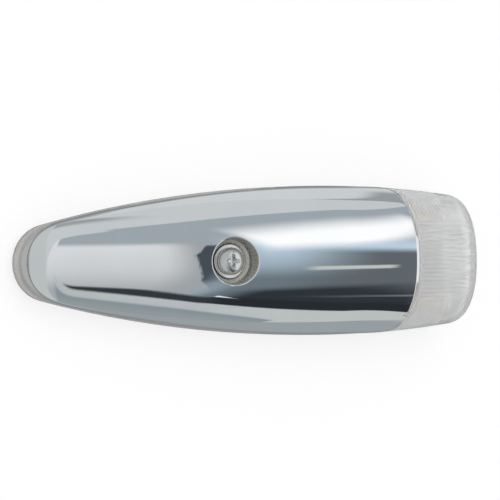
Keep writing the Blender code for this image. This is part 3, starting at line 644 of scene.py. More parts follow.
CREST_AT_SCREW = SKIRT_Z + crest_rise(SCREW_X)
RECESS_FLOOR_Z = CREST_AT_SCREW - RECESS_DEPTH
RECESS_UNDERSIDE_Z = RECESS_FLOOR_Z - RECESS_FLOOR
HOLE_SHARE = 0.7
NORMAL_REACH = 1.5 * HOLE_REACH
RIM_EASE = 0.0002
RIM_ANGLE = math.radians(50)


def section_shares(half):
    """Shares of the half width for the columns of the cover, with one at each side of the tab."""
    turns = [math.pi / 2 * (1 - k / ARCH_COLUMNS) for k in range(2 * ARCH_COLUMNS + 1)]
    shares = [math.copysign(abs(math.sin(a)) ** (2 / SIDE_EXPONENT), math.sin(a)) for a in turns]
    tab = TAB_HALF / half
    return sorted(shares + [tab, -tab], reverse=True)


def hole_loop(grid, rows, columns):
    """Vertices round a block of the grid, in order."""
    (first, last), (left, right) = rows, columns
    loop = [grid[first][j] for j in range(left, right)]
    loop += [grid[i][right] for i in range(first, last)]
    loop += [grid[last][j] for j in range(right, left, -1)]
    return loop + [grid[i][left] for i in range(last, first, -1)]


def surface_rings(bm, loop, angles, radius, inset):
    """Rings over the cover's surface, from a block of its grid in to a circle."""
    rings = [loop]
    for k in range(1, HOLE_RINGS + 1):
        share = k / HOLE_RINGS
        ring = []
        for vert, angle in zip(loop, angles):
            x = vert.co.x * (1 - share) + (SCREW_X + radius * math.cos(angle)) * share
            y = vert.co.y * (1 - share) + radius * math.sin(angle) * share
            ring.append(bm.verts.new((x, y, cover_height(x, y, inset))))
        rings.append(ring)
    return rings


def set_true_normals(mesh):
    """Gives the surface round the recess its exact normals, so that what it mirrors runs on smoothly."""
    normals = []
    for vert in mesh.vertices:
        x, y, z = vert.co
        away = math.hypot(x - SCREW_X, y)
        near = RECESS_RIM - TOUCHING < away < NORMAL_REACH
        if near and abs(z - cover_height(x, y, 0.0)) < TOUCHING:
            slope_x = cover_height(x + NUDGE, y, 0.0) - cover_height(x - NUDGE, y, 0.0)
            slope_y = cover_height(x, y + NUDGE, 0.0) - cover_height(x, y - NUDGE, 0.0)
            normals.append(Vector((-slope_x, -slope_y, 2 * NUDGE)).normalized())
        else:
            normals.append(Vector((0.0, 0.0, 0.0)))
    mesh.normals_split_custom_set_from_vertices(normals)


def hole_block(grid, shares):
    """First and last rows and columns of the part of the grid that the recess takes the place of."""
    middle = len(shares) // 2
    rows = [i for i, row in enumerate(grid) if abs(row[middle].co.x - SCREW_X) < HOLE_REACH]
    half = fore_station(HOLE_SHARE, 0.0)[1]
    columns = [j + 1 for j, share in enumerate(shares) if abs(share * half) < HOLE_REACH]
    return (rows[0], rows[-1]), (columns[0], columns[-1])


def recess_rings(bm, loop, angles):
    """Rings from the outside over the rolled rim of the recess and down to its underside."""
    rings = surface_rings(bm, loop, angles, RECESS_RIM, 0.0)
    for turn in quarter_turns(MOUTH_RINGS, 1):
        drop = RIM_ROLL * (1 - math.cos(turn))
        radius = RECESS_RIM - RIM_ROLL * math.sin(turn)
        rings.append(circle(bm, angles, radius, lambda x, y, d=drop: cover_height(x, y, 0.0) - d))
    steps = [
        (CONE_TOP, CREST_AT_SCREW),
        (CONE_FOOT, DISH_TOP_Z),
        (DISH_FOOT, DISH_FOOT_Z),
        (DISH_FOOT, RECESS_FLOOR_Z),
        (SCREW_HOLE, RECESS_FLOOR_Z),
    ]
    for radius, height in rounded(steps, RECESS_FILLET, closed=False)[1:-1]:
        rings.append(circle(bm, angles, radius, height))
    rings.append(circle(bm, angles, SCREW_HOLE, RECESS_FLOOR_Z))
    rings.append(circle(bm, angles, SCREW_HOLE, RECESS_UNDERSIDE_Z))
    return rings


def skin_walls(bm, grids, shares):
    """Skins the outside and the inside of the cover, with the screw recess between them."""
    outer, inner = grids
    rows, columns = hole_block(outer, shares)
    loop = hole_loop(outer, rows, columns)
    angles = [math.atan2(vert.co.y, vert.co.x - SCREW_X) for vert in loop]
    for grid in grids:
        skin(bm, grid, (rows, columns))
    recess = recess_rings(bm, loop, angles)
    hoop(bm, recess)
    cup = surface_rings(bm, hole_loop(inner, rows, columns), angles, CUP_RADIUS, COVER_WALL)
    cup.append(circle(bm, angles, CUP_RADIUS, RECESS_UNDERSIDE_Z))
    cup.append(recess[-1])
    hoop(bm, cup)
    for grid in grids:
        for i in range(rows[0] + 1, rows[1]):
            for j in range(columns[0] + 1, columns[1]):
                bm.verts.remove(grid[i][j])


def make_cover():
    bm = bmesh.new()
    shares = section_shares(aft_half_width(CUT_X, 0.0))
    grids = []
    for inset in (0.0, COVER_WALL):
        grids.append([[bm.verts.new(point) for point in row] for row in cover_rows(inset, shares)])
    skin_walls(bm, grids, shares)
    outer, inner = grids
    for side in (0, -1):
        skin(bm, [[row[side] for row in outer], [row[side] for row in inner]])
    skin(bm, [outer[-1], inner[-1]])
    bmesh.ops.remove_doubles(bm, verts=bm.verts, dist=WELD)
    bmesh.ops.recalc_face_normals(bm, faces=bm.faces)

    def rim(edge):
        low = all(abs(v.co.z - RIM_Z) < WELD for v in edge.verts)
        return low and edge.calc_face_angle() > RIM_ANGLE

    ease_edges(bm, rim, RIM_EASE)
    shell = make_piece("cover_shell", bm, CHROME, "cover_unit", "chrome", "cover")
    set_true_normals(shell.data)


make_cover()

# Lens

LENS_STATIONS = 170
LENS_TOP_COLUMNS = 100
LENS_SIDE_COLUMNS = 20
LENS_TOP_SHARE = 0.86
FLUTE_PITCH = 0.0010
RIDGE_PITCH = 0.0013
FLUTE_DEPTH = 0.00034
OUTER_DEPTH = 0.00012
LENS_SINK = 0.00005
GROOVE_START = 0.0009
GROOVE_WIDTH = 0.0003
GROOVE_DEPTH = 0.00015
NOTCH_HALF = TAB_HALF + GAP
NOTCH_CLEAR = 0.0001
EVEN_SHARE = 0.55
FLUTE_FADE = 0.001
FLUTE_START = (0.5, 3.5)
ROOF_SLOPE = (0.80, 0.92)
END_SLOPE = (0.45, 0.75)
NO_NORMAL = 1e-14


def lens_shares():
    """Shares of the half width: even over the top, then closer together round the shoulder."""
    top = [LENS_TOP_SHARE * k / LENS_TOP_COLUMNS for k in range(LENS_TOP_COLUMNS + 1)]
    start = math.asin(LENS_TOP_SHARE ** (SIDE_EXPONENT / 2))
    for k in range(1, LENS_SIDE_COLUMNS + 1):
        turn = start + (math.pi / 2 - start) * k / LENS_SIDE_COLUMNS
        top.append(math.sin(turn) ** (2 / SIDE_EXPONENT))
    return list(reversed(top)) + [-s for s in top[1:]]


def lens_rise(x, inset):
    start = (x - (END_X - inset - LENS_END_ROUND)) / LENS_END_ROUND
    return crest_rise(x) * round_over(min(max(start, 0.0), 1.0), LENS_END_EXPONENT)


def lens_row(x, inset, shares):
    lean_share = 1 - smooth_step(CUT_X, END_X - LENS_END_ROUND, x)
    return leaning_row(x, inset, shares, lens_half_width, lens_rise, lean_share)


def lens_places(start_x, inset):
    """Stations of the lens: even along the side, then closer together round its end."""
    end = END_X - inset
    straight = end - LENS_END_ROUND
    even = int(LENS_STATIONS * EVEN_SHARE)
    places = [start_x + (straight - start_x) * k / even for k in range(even)]
    for turn in quarter_turns(LENS_STATIONS - even):
        places.append(straight + LENS_END_ROUND * math.sin(turn) ** (2 / LENS_END_EXPONENT))
    return places


def outer_inset(x):
    """How far the outside lies under the solid's: a hair everywhere, and a groove along the joint."""
    along = x - CUT_X - GAP - GROOVE_START
    return LENS_SINK + (GROOVE_DEPTH if 0 < along < GROOVE_WIDTH else 0.0)


def wave(place, pitch):
    return 0.5 - 0.5 * math.cos(2 * math.pi * place / pitch)


def flute(rows, depth):
    """Cuts flutes into a wall of the lens: upright ones on its sides and end, and ridges along its roof.

    A positive depth cuts outwards from the inside, a negative one inwards from the outside.
    """
    result = [list(row) for row in rows]
    for i in range(1, len(rows) - 1):
        for j in range(1, len(rows[i]) - 1):
            along = rows[i + 1][j] - rows[i - 1][j]
            across = rows[i][j + 1] - rows[i][j - 1]
            normal = across.cross(along)
            if normal.length < NO_NORMAL:
                continue
            normal.normalize()
            point = rows[i][j]
            roof = smooth_step(*ROOF_SLOPE, normal.z)
            end = smooth_step(*END_SLOPE, normal.x)
            cut = roof * wave(point.y, RIDGE_PITCH)
            cut += (1 - roof) * end * wave(point.y, FLUTE_PITCH)
            cut += (1 - roof) * (1 - end) * wave(point.x + JOINT_LEAN * (CREST_Z - point.z), FLUTE_PITCH)
            fade = smooth_step(SKIRT_Z - LENS_WALL, SKIRT_Z + FLUTE_FADE, point.z)
            fade *= smooth_step(*FLUTE_START, i)
            result[i][j] = point + normal * depth * cut * fade
    return result


def lens_outside(shares):
    """Sections of the outside, from the joint with its notch for the cover's tab to the end."""
    rows = [lens_row(x, outer_inset(x), shares) for x in lens_places(CUT_X + GAP, LENS_SINK)]
    for point in rows[0]:
        if abs(point.y) < NOTCH_HALF and point.z > BULB_Z:
            point.x += TAB_LENGTH
    crest = len(shares) // 2
    clear_x = CUT_X + GAP + TAB_LENGTH + NOTCH_CLEAR
    return flute([row for k, row in enumerate(rows) if k == 0 or row[crest].x > clear_x], -OUTER_DEPTH)


def close_foot(bm, outer, inner, lip):
    """Faces under one side of the lens, between the feet of its outside, its inside and its lip."""
    while len(outer) + len(inner) > 2:
        if len(outer) >= len(inner):
            bm.faces.new((outer[-1], outer[-2], inner[-1]))
            outer.pop()
        else:
            bm.faces.new((outer[-1], inner[-2], inner[-1]))
            inner.pop()
    bm.faces.new([outer[0], *reversed(lip), inner[0]])


def make_lens():
    bm = bmesh.new()
    shares = lens_shares()

    def add(points):
        return [bm.verts.new(p) for p in points]

    outer = lens_outside(shares)
    inner = flute([lens_row(x, LENS_WALL, shares) for x in lens_places(STEP_X, LENS_WALL)], FLUTE_DEPTH)
    outer_rows = [add(row) for row in outer]
    inner_rows = [add(row) for row in inner]
    outer_foot = add([Vector((p.x, p.y, RIM_Z)) for p in outer[-1]])
    inner_foot = add([Vector((p.x, p.y, RIM_Z)) for p in inner[-1]])
    lip = []
    for x, inset in (
        (STEP_X, LIP_INSET + LIP_WALL),
        (LIP_X, LIP_INSET + LIP_WALL),
        (LIP_X, LIP_INSET),
        (CUT_X + GAP, LIP_INSET),
    ):
        lip.append(add(lens_row(x, inset, shares)))
    skin(bm, outer_rows + [outer_foot, inner_foot] + list(reversed(inner_rows)) + lip + [outer_rows[0]])
    for side in (0, -1):
        close_foot(bm, *([row[side] for row in rows] for rows in (outer_rows, inner_rows, lip)))
    make_piece("lens_shell", bm, CLEAR, "lens_unit", "clear_plastic", "lens", smooth_angle=50.0)


make_lens()

# Screw and washer

SEAL_Z = RECESS_FLOOR_Z + GAP
WASHER_Z = SEAL_Z + SEAL_THICKNESS + GAP
HEAD_Z = WASHER_Z + WASHER_THICKNESS + GAP
THREAD_PITCH = 0.0008
THREAD_DEPTH = 0.0004
THREAD_TIP = 0.0006
THREAD_STEPS = 8
SHANK_STEPS = 32
CROSS_DEPTH = 0.0018
CROSS_TOP = (0.0025, 0.00055)
CROSS_FOOT = (0.0011, 0.00042)
CROSS_OVERSHOOT = 0.0002
CROSS_ANGLE = math.radians(35)
CROSS_EASE = 0.00007
HEAD_STEPS = 12
HEAD_CHAMFER = 0.00012
WASHER_EASE = 0.00015


def apply_cut(bm, cutters):
    """Cuts closed bmeshes out of another with exact booleans."""
    made = []
    for k, source in enumerate([bm] + cutters):
        mesh = bpy.data.meshes.new(f"cut_{k}")
        bmesh.ops.recalc_face_normals(source, faces=source.faces)
        source.to_mesh(mesh)
        source.free()
        made.append(add_object(f"cut_{k}", mesh))
    for cutter in made[1:]:
        modifier = made[0].modifiers.new(cutter.name, "BOOLEAN")
        modifier.object = cutter
        modifier.solver = "EXACT"
    shape = made[0].evaluated_get(bpy.context.evaluated_depsgraph_get())
    result = bmesh.new()
    result.from_mesh(shape.to_mesh())
    for obj in made:
        bpy.data.objects.remove(obj, do_unlink=True)
    return result


def wedge(turn, top_z):
    """One arm of the cross recess: a block that narrows downwards."""
    bm = bmesh.new()
    rows = []
    for (long, wide), z in ((CROSS_FOOT, top_z - CROSS_DEPTH), (CROSS_TOP, top_z + CROSS_OVERSHOOT)):
        corners = ((long, wide), (-long, wide), (-long, -wide), (long, -wide))
        rows.append([bm.verts.new((x, y, z)) for x, y in corners])
    hoop(bm, rows, capped=True)
    matrix = Matrix.Translation((SCREW_X, 0.0, 0.0)) @ Matrix.Rotation(turn, 4, "Z")
    bmesh.ops.transform(bm, matrix=matrix, verts=bm.verts)
    return bm


def add_thread(bm, radius, low, high):
    """A threaded shank with a chamfered tip."""
    rows = []
    count = round((high - low) / THREAD_PITCH * THREAD_STEPS)
    for i in range(count + 1):
        z = low + (high - low) * i / count
        fade = min((z - low) / THREAD_PITCH, (high - z) / THREAD_PITCH, 1.0)
        tip = THREAD_TIP * max(1 - (z - low) / THREAD_TIP, 0.0)
        ring = []
        for k in range(SHANK_STEPS):
            turn = ((z - low) / THREAD_PITCH - k / SHANK_STEPS) % 1.0
            groove = THREAD_DEPTH * fade * (1 - abs(2 * turn - 1))
            angle = 2 * math.pi * k / SHANK_STEPS
            reach = radius - max(groove, tip)
            ring.append(bm.verts.new((SCREW_X + reach * math.cos(angle), reach * math.sin(angle), z)))
        rows.append(ring)
    hoop(bm, rows, capped=True)


def make_screw():
    top = HEAD_Z + HEAD_HEIGHT
    flat = HEAD_RADIUS * HEAD_FLAT
    neck = HEAD_Z - THREAD_PITCH
    profile = [(SCREW_RADIUS, neck), (SCREW_RADIUS, HEAD_Z)]
    profile += [(HEAD_RADIUS - HEAD_CHAMFER, HEAD_Z), (HEAD_RADIUS, HEAD_Z + HEAD_CHAMFER)]
    for turn in quarter_turns(HEAD_STEPS):
        radius = flat + (HEAD_RADIUS - flat) * math.cos(turn)
        profile.append((radius, HEAD_Z + HEAD_EDGE + (HEAD_HEIGHT - HEAD_EDGE) * math.sin(turn)))
    bm = turned(profile)
    bm = apply_cut(bm, [wedge(0.0, top), wedge(math.pi / 2, top)])

    def cross_edge(edge):
        high = min(v.co.z for v in edge.verts) > HEAD_Z + HEAD_EDGE
        return high and edge.calc_face_angle() > CROSS_ANGLE

    ease_edges(bm, cross_edge, CROSS_EASE)
    add_thread(bm, SCREW_RADIUS, HEAD_Z - SCREW_LENGTH, neck)
    slot = "stainless_steel"
    make_piece("screw_body", bm, STEEL, "screw_unit", slot, "cover_screw", smooth_angle=30.0)


def make_washer():
    top = WASHER_Z + WASHER_THICKNESS
    corners = [(WASHER_RADIUS, WASHER_Z), (WASHER_RADIUS, top), (SCREW_HOLE, top), (SCREW_HOLE, WASHER_Z)]
    bm = turned(rounded(corners, WASHER_EASE), closed=True)
    make_piece("washer_ring", bm, STEEL, "washer_unit", "stainless_steel", "screw_washer")


make_screw()
make_washer()

# Bulb

GLASS_WALL = 0.0006
CAP_WALL = 0.0004
NECK_LENGTH = 0.0014
COIL_RADIUS = 0.00045
COIL_HALF = 0.0050
COIL_TURNS = 20
COIL_POINTS = 16
WIRE_RADIUS = 0.00010
WIRE_SIDES = 6
SHOULDER_STEPS = 8
BULB_STEPS = 48
CAP_EASE = 0.0003
CAP_START = BULB_HALF - CAP_LENGTH
CAP_CONE = CAP_RADIUS / 2
ASIDE = Vector((0.3, 0.2, 1.0))
LYING = Matrix.Translation((BULB_X, 0.0, BULB_Z)) @ Matrix.Rotation(-math.pi / 2, 4, "X")


def lying(profile, closed=False):
    """A turned shape whose axis lies along Y, through the middle of the bulb."""
    bm = turned(profile, (0.0, 0.0), steps=BULB_STEPS, closed=closed)
    bmesh.ops.transform(bm, matrix=LYING, verts=bm.verts)
    return bm


def tube(bm, path, radius):
    """A wire along a path of points."""
    rings = []
    for k, point in enumerate(path):
        along = (path[min(k + 1, len(path) - 1)] - path[max(k - 1, 0)]).normalized()
        side = along.cross(ASIDE).normalized()
        other = along.cross(side)
        ring = []
        for j in range(WIRE_SIDES):
            angle = 2 * math.pi * j / WIRE_SIDES
            ring.append(bm.verts.new(point + (side * math.cos(angle) + other * math.sin(angle)) * radius))
        rings.append(ring)
    hoop(bm, rings, capped=True)


def make_bulb_tube():
    neck = CAP_RADIUS - CAP_WALL - GAP
    shoulder = CAP_START - GAP
    body_half = shoulder - (BULB_RADIUS - neck)
    outer = [(neck, -shoulder - NECK_LENGTH)]
    for turn in quarter_turns(SHOULDER_STEPS):
        radius = neck + (BULB_RADIUS - neck) * math.sin(turn)
        outer.append((radius, -body_half - (shoulder - body_half) * math.cos(turn)))
    whole = outer + [(radius, -height) for radius, height in reversed(outer)]
    inside = [(radius - GLASS_WALL, height) for radius, height in reversed(whole)]
    bm = lying(whole + inside, closed=True)
    make_piece("bulb_tube", bm, GLASS, "bulb_unit", "bulb_glass", "bulb_glass")


def make_cap(side, sign):
    profile = rounded([
        (CAP_RADIUS - CAP_CONE, BULB_HALF),
        (CAP_RADIUS, BULB_HALF - CAP_CONE),
        (CAP_RADIUS, CAP_START),
        (CAP_RADIUS - CAP_WALL, CAP_START),
        (CAP_RADIUS - CAP_WALL, BULB_HALF - CAP_CONE),
        (CAP_RADIUS - CAP_CONE - CAP_WALL / 2, BULB_HALF - CAP_WALL),
    ], CAP_EASE, closed=False)
    bm = lying([(radius, sign * height) for radius, height in profile])
    make_piece(f"cap_{side}", bm, NICKEL, "bulb_unit", "nickel", f"bulb_cap_{side}")


def make_filament():
    end = BULB_HALF - CAP_WALL - GAP
    count = COIL_TURNS * COIL_POINTS
    path = [Vector((0.0, 0.0, -end)), Vector((0.0, 0.0, -COIL_HALF - COIL_RADIUS))]
    for k in range(count + 1):
        angle = 2 * math.pi * k / COIL_POINTS
        height = -COIL_HALF + 2 * COIL_HALF * k / count
        path.append(Vector((COIL_RADIUS * math.cos(angle), COIL_RADIUS * math.sin(angle), height)))
    path += [Vector((0.0, 0.0, COIL_HALF + COIL_RADIUS)), Vector((0.0, 0.0, end))]
    bm = bmesh.new()
    tube(bm, [LYING @ point for point in path], WIRE_RADIUS)
    make_piece("filament_coil", bm, TUNGSTEN, "bulb_unit", "tungsten", "bulb_filament")


make_bulb_tube()
make_cap("left", 1)
make_cap("right", -1)
make_filament()

# The other CAD nodes keep their form: each has a finish and the width that its edges are eased by

SINGLE = {
    "base": (PLASTIC, 0.0),
    "base_gasket": (FOAM, 0.0),
    "rim_seal": (SILICONE, 0.0002),
    "cable_grommet": (RUBBER, 0.0003),
    "screw_seal": (RUBBER, 0.00015),
    "threaded_insert": (BRASS, 0.00015),
}
PAIRED = {
    "bulb_clip": (PLATED, 0.0001),
    "contact_strip": (BRASS, 0.00015),
    "clip_rivet": (BRASS, 0.0002),
    "terminal_clamp": (STEEL, 0.0002),
    "terminal_screw": (BRASS, 0.0002),
}
FLAT_ANGLE = math.radians(1.0)
SHARP_ANGLE = math.radians(38)
SLOTS = {entry["node"]: entry["material_slot"] for entry in frame["record"]["subparts"]}


def make_eased(node, finish, width):
    """A smooth copy of a CAD node, with its sharp edges rounded where a width is given."""
    bm = bmesh.new()
    bm.from_mesh(frame["nodes"][node].data)
    bmesh.ops.remove_doubles(bm, verts=bm.verts, dist=TOUCHING)
    if width:
        bmesh.ops.dissolve_limit(bm, angle_limit=FLAT_ANGLE, verts=bm.verts, edges=bm.edges)
        ease_edges(bm, lambda edge: edge.calc_face_angle(0.0) > SHARP_ANGLE, width)
    body = "cover_unit" if node == "screw_seal" else "base_unit"
    make_piece(f"{node}_eased", bm, finish, body, SLOTS[node], node)


for node, (finish, width) in SINGLE.items():
    make_eased(node, finish, width)
for node, (finish, width) in PAIRED.items():
    for side in ("left", "right"):
        make_eased(f"{node}_{side}", finish, width)

# Studio

CEILING_HEIGHT = 2.0
STUDIO_REACH = 16.0
GROUND_LIFT = 0.0003
CARD_STRENGTH = 1.08
WORLD_LEVEL = 0.84
FLOOR_WHITE = 0.75
FLOOR_COLOUR = (0.97, 0.97, 0.97, 1.0)
KEY_POWER = 6.5
KEY_SIZE = 1.2
KEY_PLACE = (0.2, 0.6, 1.4)


def linear(colour):
    """Screen values from 0 to 255 as linear light."""
    result = []
    for value in colour:
        value /= 255
        result.append(value / 12.92 if value <= 0.04045 else ((value + 0.055) / 1.055) ** 2.4)
    return tuple(result)


# Edges of the cards that the chrome mirrors: lines y = offset + slope * x, or x = offset + slope * y,
# with the side that the card lies on and the softness of the edge. Places on the ceiling are shares of its
# height. The cards' edges and colours are fitted to what the chrome mirrors in the photograph.


def over(offset, softness, slope=0.0):
    return "y", slope, offset, 1, softness


def under(offset, softness, slope=0.0):
    return "y", slope, offset, -1, softness


def right_of(offset, softness, slope=0.0):
    return "x", slope, offset, 1, softness


def left_of(offset, softness, slope=0.0):
    return "x", slope, offset, -1, softness


# Each card is a screen colour and its edges; later cards lie over earlier ones
DARK_FOOT = [over(-0.43, 0.012, -2.3), over(-0.527, 0.02, -1.985)]
PAST_NOSE = right_of(-0.13, 0.04)
PAST_CREST = right_of(0.135, 0.025, 0.016)
WINDOW = [right_of(0.093, 0.0015, 0.1), right_of(0.1, 0.0015, -0.04), right_of(0.079, 0.002, -0.13)]
CEILING_COLOUR = (212, 215, 217)
CEILING_CARDS = [
    # Shade of the left half, towards the wall on the right hand
    ((165, 168, 171), under(-0.17, 0.36, 0.2)),
    ((158, 162, 165), right_of(0.088, 0.02)),
    # Pale wall on the left hand, and the blue band under it
    ((194, 198, 200), over(0.5, 0.008, 2.0)),
    ((155, 164, 171), under(0.5, 0.008, 2.0), under(0.55, 0.008, 3.6), over(0.205, 0.05)),
    ((194, 198, 200), over(0.402, 0.008, 0.94), over(0.38, 0.008, 3.0), left_of(0.06, 0.01)),
    ((153, 158, 160), over(1.5, 0.5), left_of(0.05, 0.05, 0.1)),
    # Pale strip and blue wall on the right hand
    ((182, 187, 188), PAST_NOSE, under(-0.43, 0.012, -2.3)),
    ((186, 190, 190), right_of(0.3, 0.03), under(-0.527, 0.02, -1.985)),
    ((132, 143, 149), PAST_NOSE, under(-0.69, 0.03, -3.0)),
    ((143, 152, 155), PAST_NOSE, under(-1.1, 0.25, -3.0)),
    # End of the ceiling in front of the nose
    ((186, 190, 191), left_of(-0.26, 0.035)),
    # Dark window beside the screw
    ((68, 77, 83), *DARK_FOOT, *WINDOW, under(0.18, 0.02)),
    ((114, 125, 135), *DARK_FOOT, *WINDOW, under(-0.25, 0.06)),
    # Sky over the crest, darker to the right hand and towards the lens
    ((186, 205, 220), *DARK_FOOT, PAST_CREST, under(0.3, 0.1)),
    ((106, 119, 126), *DARK_FOOT, PAST_CREST, under(-0.04, 0.2)),
    ((94, 101, 106), *DARK_FOOT, right_of(0.21, 0.05), under(0.12, 0.06)),
    ((46, 52, 57), *DARK_FOOT, right_of(0.17, 0.03), left_of(0.13, 0.06, -0.4), under(-0.42, 0.08)),
    ((40, 43, 48), *DARK_FOOT, right_of(0.15, 0.02), under(-0.29, 0.03, -1.83), under(-0.62, 0.03)),
    ((112, 117, 121), under(-0.285, 0.012, -1.3), over(-0.335, 0.012, -1.3), right_of(0.36, 0.14)),
    # Thin black beam along the strip
    (
        (50, 55, 60),
        over(-0.38, 0.012, -2.75), under(-0.319, 0.02, -1.17), under(-0.19, 0.012, -2.9),
        right_of(-0.045, 0.01), left_of(0.19, 0.02),
    ),
    # Bright lamp over the left shoulder, and two thin glints
    (
        (254, 255, 255), over(-0.03, 0.055, 1.03), under(0.1, 0.08, 2.04),
        right_of(0.167, 0.014, -0.044), over(-0.57, 0.03, 3.0),
    ),
    ((190, 193, 190), under(-0.055, 0.01), over(-0.1, 0.012), right_of(0.195, 0.01), left_of(0.268, 0.006)),
    ((235, 240, 250), under(-0.08, 0.004, -3.1), over(-0.26, 0.004, -2.16), right_of(0.159, 0.003)),
    # Light wall behind the lens
    ((226, 229, 231), right_of(0.36, 0.05), over(0.06, 0.1, -1.0), under(-0.03, 0.05, 1.0)),
]
GROUND_COLOUR = (200, 204, 205)
GROUND_CARDS = [
    ((150, 157, 160), under(0.05, 0.02, 1.4), under(-0.012, 0.012)),
    ((188, 191, 191), right_of(0.062, 0.008, -0.3), under(-0.05, 0.02)),
    ((158, 161, 162), left_of(-0.043, 0.008), over(0.005, 0.01)),
    # Painted shadow of the lens on the ground beside it, which only reflections show
    ((150, 154, 156), right_of(0.04, 0.006, 0.35), over(0.045, 0.01)),
    ((132, 136, 138), under(0.03, 0.004), over(-0.03, 0.004)),
    ((170, 172, 170), left_of(-0.07, 0.01)),
]


def edge_mask(material, place, edge, scale):
    """A socket that is 1 on one side of a line and 0 on the other."""
    nodes, links = nodes_of(material)
    kind, slope, offset, side, softness = edge
    direction = Vector((1.0, -slope, 0.0)) if kind == "x" else Vector((-slope, 1.0, 0.0))
    size = direction.length
    dot = nodes.new("ShaderNodeVectorMath")
    dot.operation = "DOT_PRODUCT"
    dot.inputs[1].default_value = direction * (side / size / scale)
    links.new(place, dot.inputs[0])
    at = side * offset / size
    return add_step(material, dot.outputs["Value"], at - softness, at + softness)


def card_material(name, ground, cards, scale):
    """A glowing surface of one colour with soft-edged cards laid over it in turn."""
    material, nodes, links = new_material(name)
    nodes.clear()
    output = nodes.new("ShaderNodeOutputMaterial")
    emission = nodes.new("ShaderNodeEmission")
    links.new(emission.outputs["Emission"], output.inputs["Surface"])
    place = nodes.new("ShaderNodeNewGeometry").outputs["Position"]
    colour = nodes.new("ShaderNodeRGB")
    colour.outputs[0].default_value = (*linear(ground), 1.0)
    colour = colour.outputs[0]
    for card, *edges in cards:
        share = edge_mask(material, place, edges[0], scale)
        for edge in edges[1:]:
            share = add_math(material, "MULTIPLY", share, edge_mask(material, place, edge, scale))
        colour = add_mix(material, share, colour, linear(card))
    links.new(colour, emission.inputs["Color"])
    emission.inputs["Strength"].default_value = CARD_STRENGTH
    return material


def stage_mesh(name, corners, faces, material):
    mesh = bpy.data.meshes.new(name)
    mesh.from_pydata(corners, [], faces)
    mesh.materials.append(material)
    obj = add_object(name, mesh)
    return obj


def square(height):
    corners = ((-1, -1), (1, -1), (1, 1), (-1, 1))
    return [(x * STUDIO_REACH, y * STUDIO_REACH, height) for x, y in corners]


def make_reflected_room():
    """The ceiling and walls, and the ground, that only reflections show."""
    walls = [(k, (k + 1) % 4, (k + 1) % 4 + 4, k + 4) for k in range(4)]
    above = card_material("studio_ceiling", CEILING_COLOUR, CEILING_CARDS, CEILING_HEIGHT)
    below = card_material("studio_ground", GROUND_COLOUR, GROUND_CARDS, 1.0)
    room = stage_mesh("studio_ceiling", square(0.0) + square(CEILING_HEIGHT), walls + [(4, 5, 6, 7)], above)
    ground = stage_mesh("studio_ground", square(GROUND_LIFT), [(0, 1, 2, 3)], below)
    for obj in (room, ground):
        obj.visible_camera = False
        obj.visible_diffuse = False
        obj.visible_transmission = False
        obj.visible_volume_scatter = False
        obj.visible_shadow = False


def add_seen(owner):
    """1 for the rays of the camera and of mirrored or refracted views, 0 for the rays that light things."""
    path = nodes_of(owner)[0].new("ShaderNodeLightPath")
    seen = path.outputs["Is Camera Ray"]
    for kind in ("Is Glossy Ray", "Is Transmission Ray"):
        seen = add_math(owner, "MAXIMUM", seen, path.outputs[kind])
    return seen


def make_floor():
    """A white floor that keeps a faint shadow of the light."""
    material, nodes, links = new_material("studio_floor")
    shader = nodes["Principled BSDF"]
    shader.inputs["Base Color"].default_value = FLOOR_COLOUR
    shader.inputs["Roughness"].default_value = 1.0
    shader.inputs["Specular IOR Level"].default_value = 0.0
    white = nodes.new("ShaderNodeEmission")
    share = add_math(material, "MULTIPLY", add_seen(material), FLOOR_WHITE)
    mix = nodes.new("ShaderNodeMixShader")
    links.new(share, mix.inputs["Fac"])
    links.new(shader.outputs["BSDF"], mix.inputs[1])
    links.new(white.outputs["Emission"], mix.inputs[2])
    links.new(mix.outputs["Shader"], nodes["Material Output"].inputs["Surface"])
    stage_mesh("studio_floor", square(0.0), [(0, 1, 2, 3)], material)


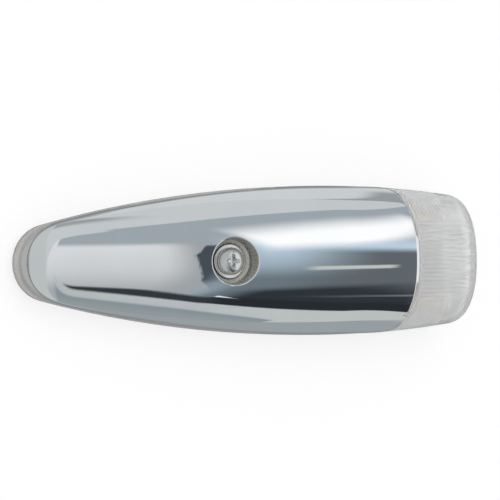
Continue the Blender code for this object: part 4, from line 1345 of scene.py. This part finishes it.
def make_world():
    world = bpy.data.worlds.new("studio")
    bpy.context.scene.world = world
    world.use_nodes = True
    nodes, links = nodes_of(world)
    background = nodes["Background"]
    background.inputs["Color"].default_value = (1.0, 1.0, 1.0, 1.0)
    level = add_map(world, add_seen(world), (0.0, 1.0), (WORLD_LEVEL, 1.0))
    links.new(level, background.inputs["Strength"])


def make_key():
    lamp = bpy.data.lights.new("key", "AREA")
    lamp.shape = "DISK"
    lamp.size = KEY_SIZE
    lamp.energy = KEY_POWER
    key = add_object("key", lamp)
    key.location = KEY_PLACE
    key.rotation_euler = (-Vector(key.location)).to_track_quat("-Z", "Y").to_euler()
    key.visible_glossy = False


# Camera at the photograph's place

VIEW_TILT = math.radians(25.0)
VIEW_ROLL = math.radians(0.55)
VIEW_DISTANCE = 1.5
VIEW_AIM = (0.002443, 0.003535)
VIEW_HEIGHT = 0.010
IMAGE_WIDTH = 500
PIXELS_PER_METRE = 3140
VIEW_SPAN = IMAGE_WIDTH / PIXELS_PER_METRE
SENSOR = 36.0
FARTHEST = 100.0


def make_camera():
    back = Vector((-math.sin(VIEW_TILT), 0.0, math.cos(VIEW_TILT)))
    level = Vector((math.cos(VIEW_TILT), 0.0, math.sin(VIEW_TILT)))
    side = Vector((0.0, 1.0, 0.0))
    right = level * math.cos(VIEW_ROLL) - side * math.sin(VIEW_ROLL)
    up = level * math.sin(VIEW_ROLL) + side * math.cos(VIEW_ROLL)
    aim = Vector((0.0, 0.0, VIEW_HEIGHT)) + right * VIEW_AIM[0] + up * VIEW_AIM[1]
    data = bpy.data.cameras.new("camera")
    data.sensor_width = SENSOR
    data.lens = SENSOR * VIEW_DISTANCE / VIEW_SPAN
    data.clip_end = FARTHEST
    camera = add_object("camera", data)
    turn = Matrix((right, up, back)).transposed().to_4x4()
    camera.matrix_world = Matrix.Translation(aim + back * VIEW_DISTANCE) @ turn
    bpy.context.scene.camera = camera


make_reflected_room()
make_floor()
make_world()
make_key()
make_camera()
bpy.context.scene.view_settings.view_transform = "Standard"
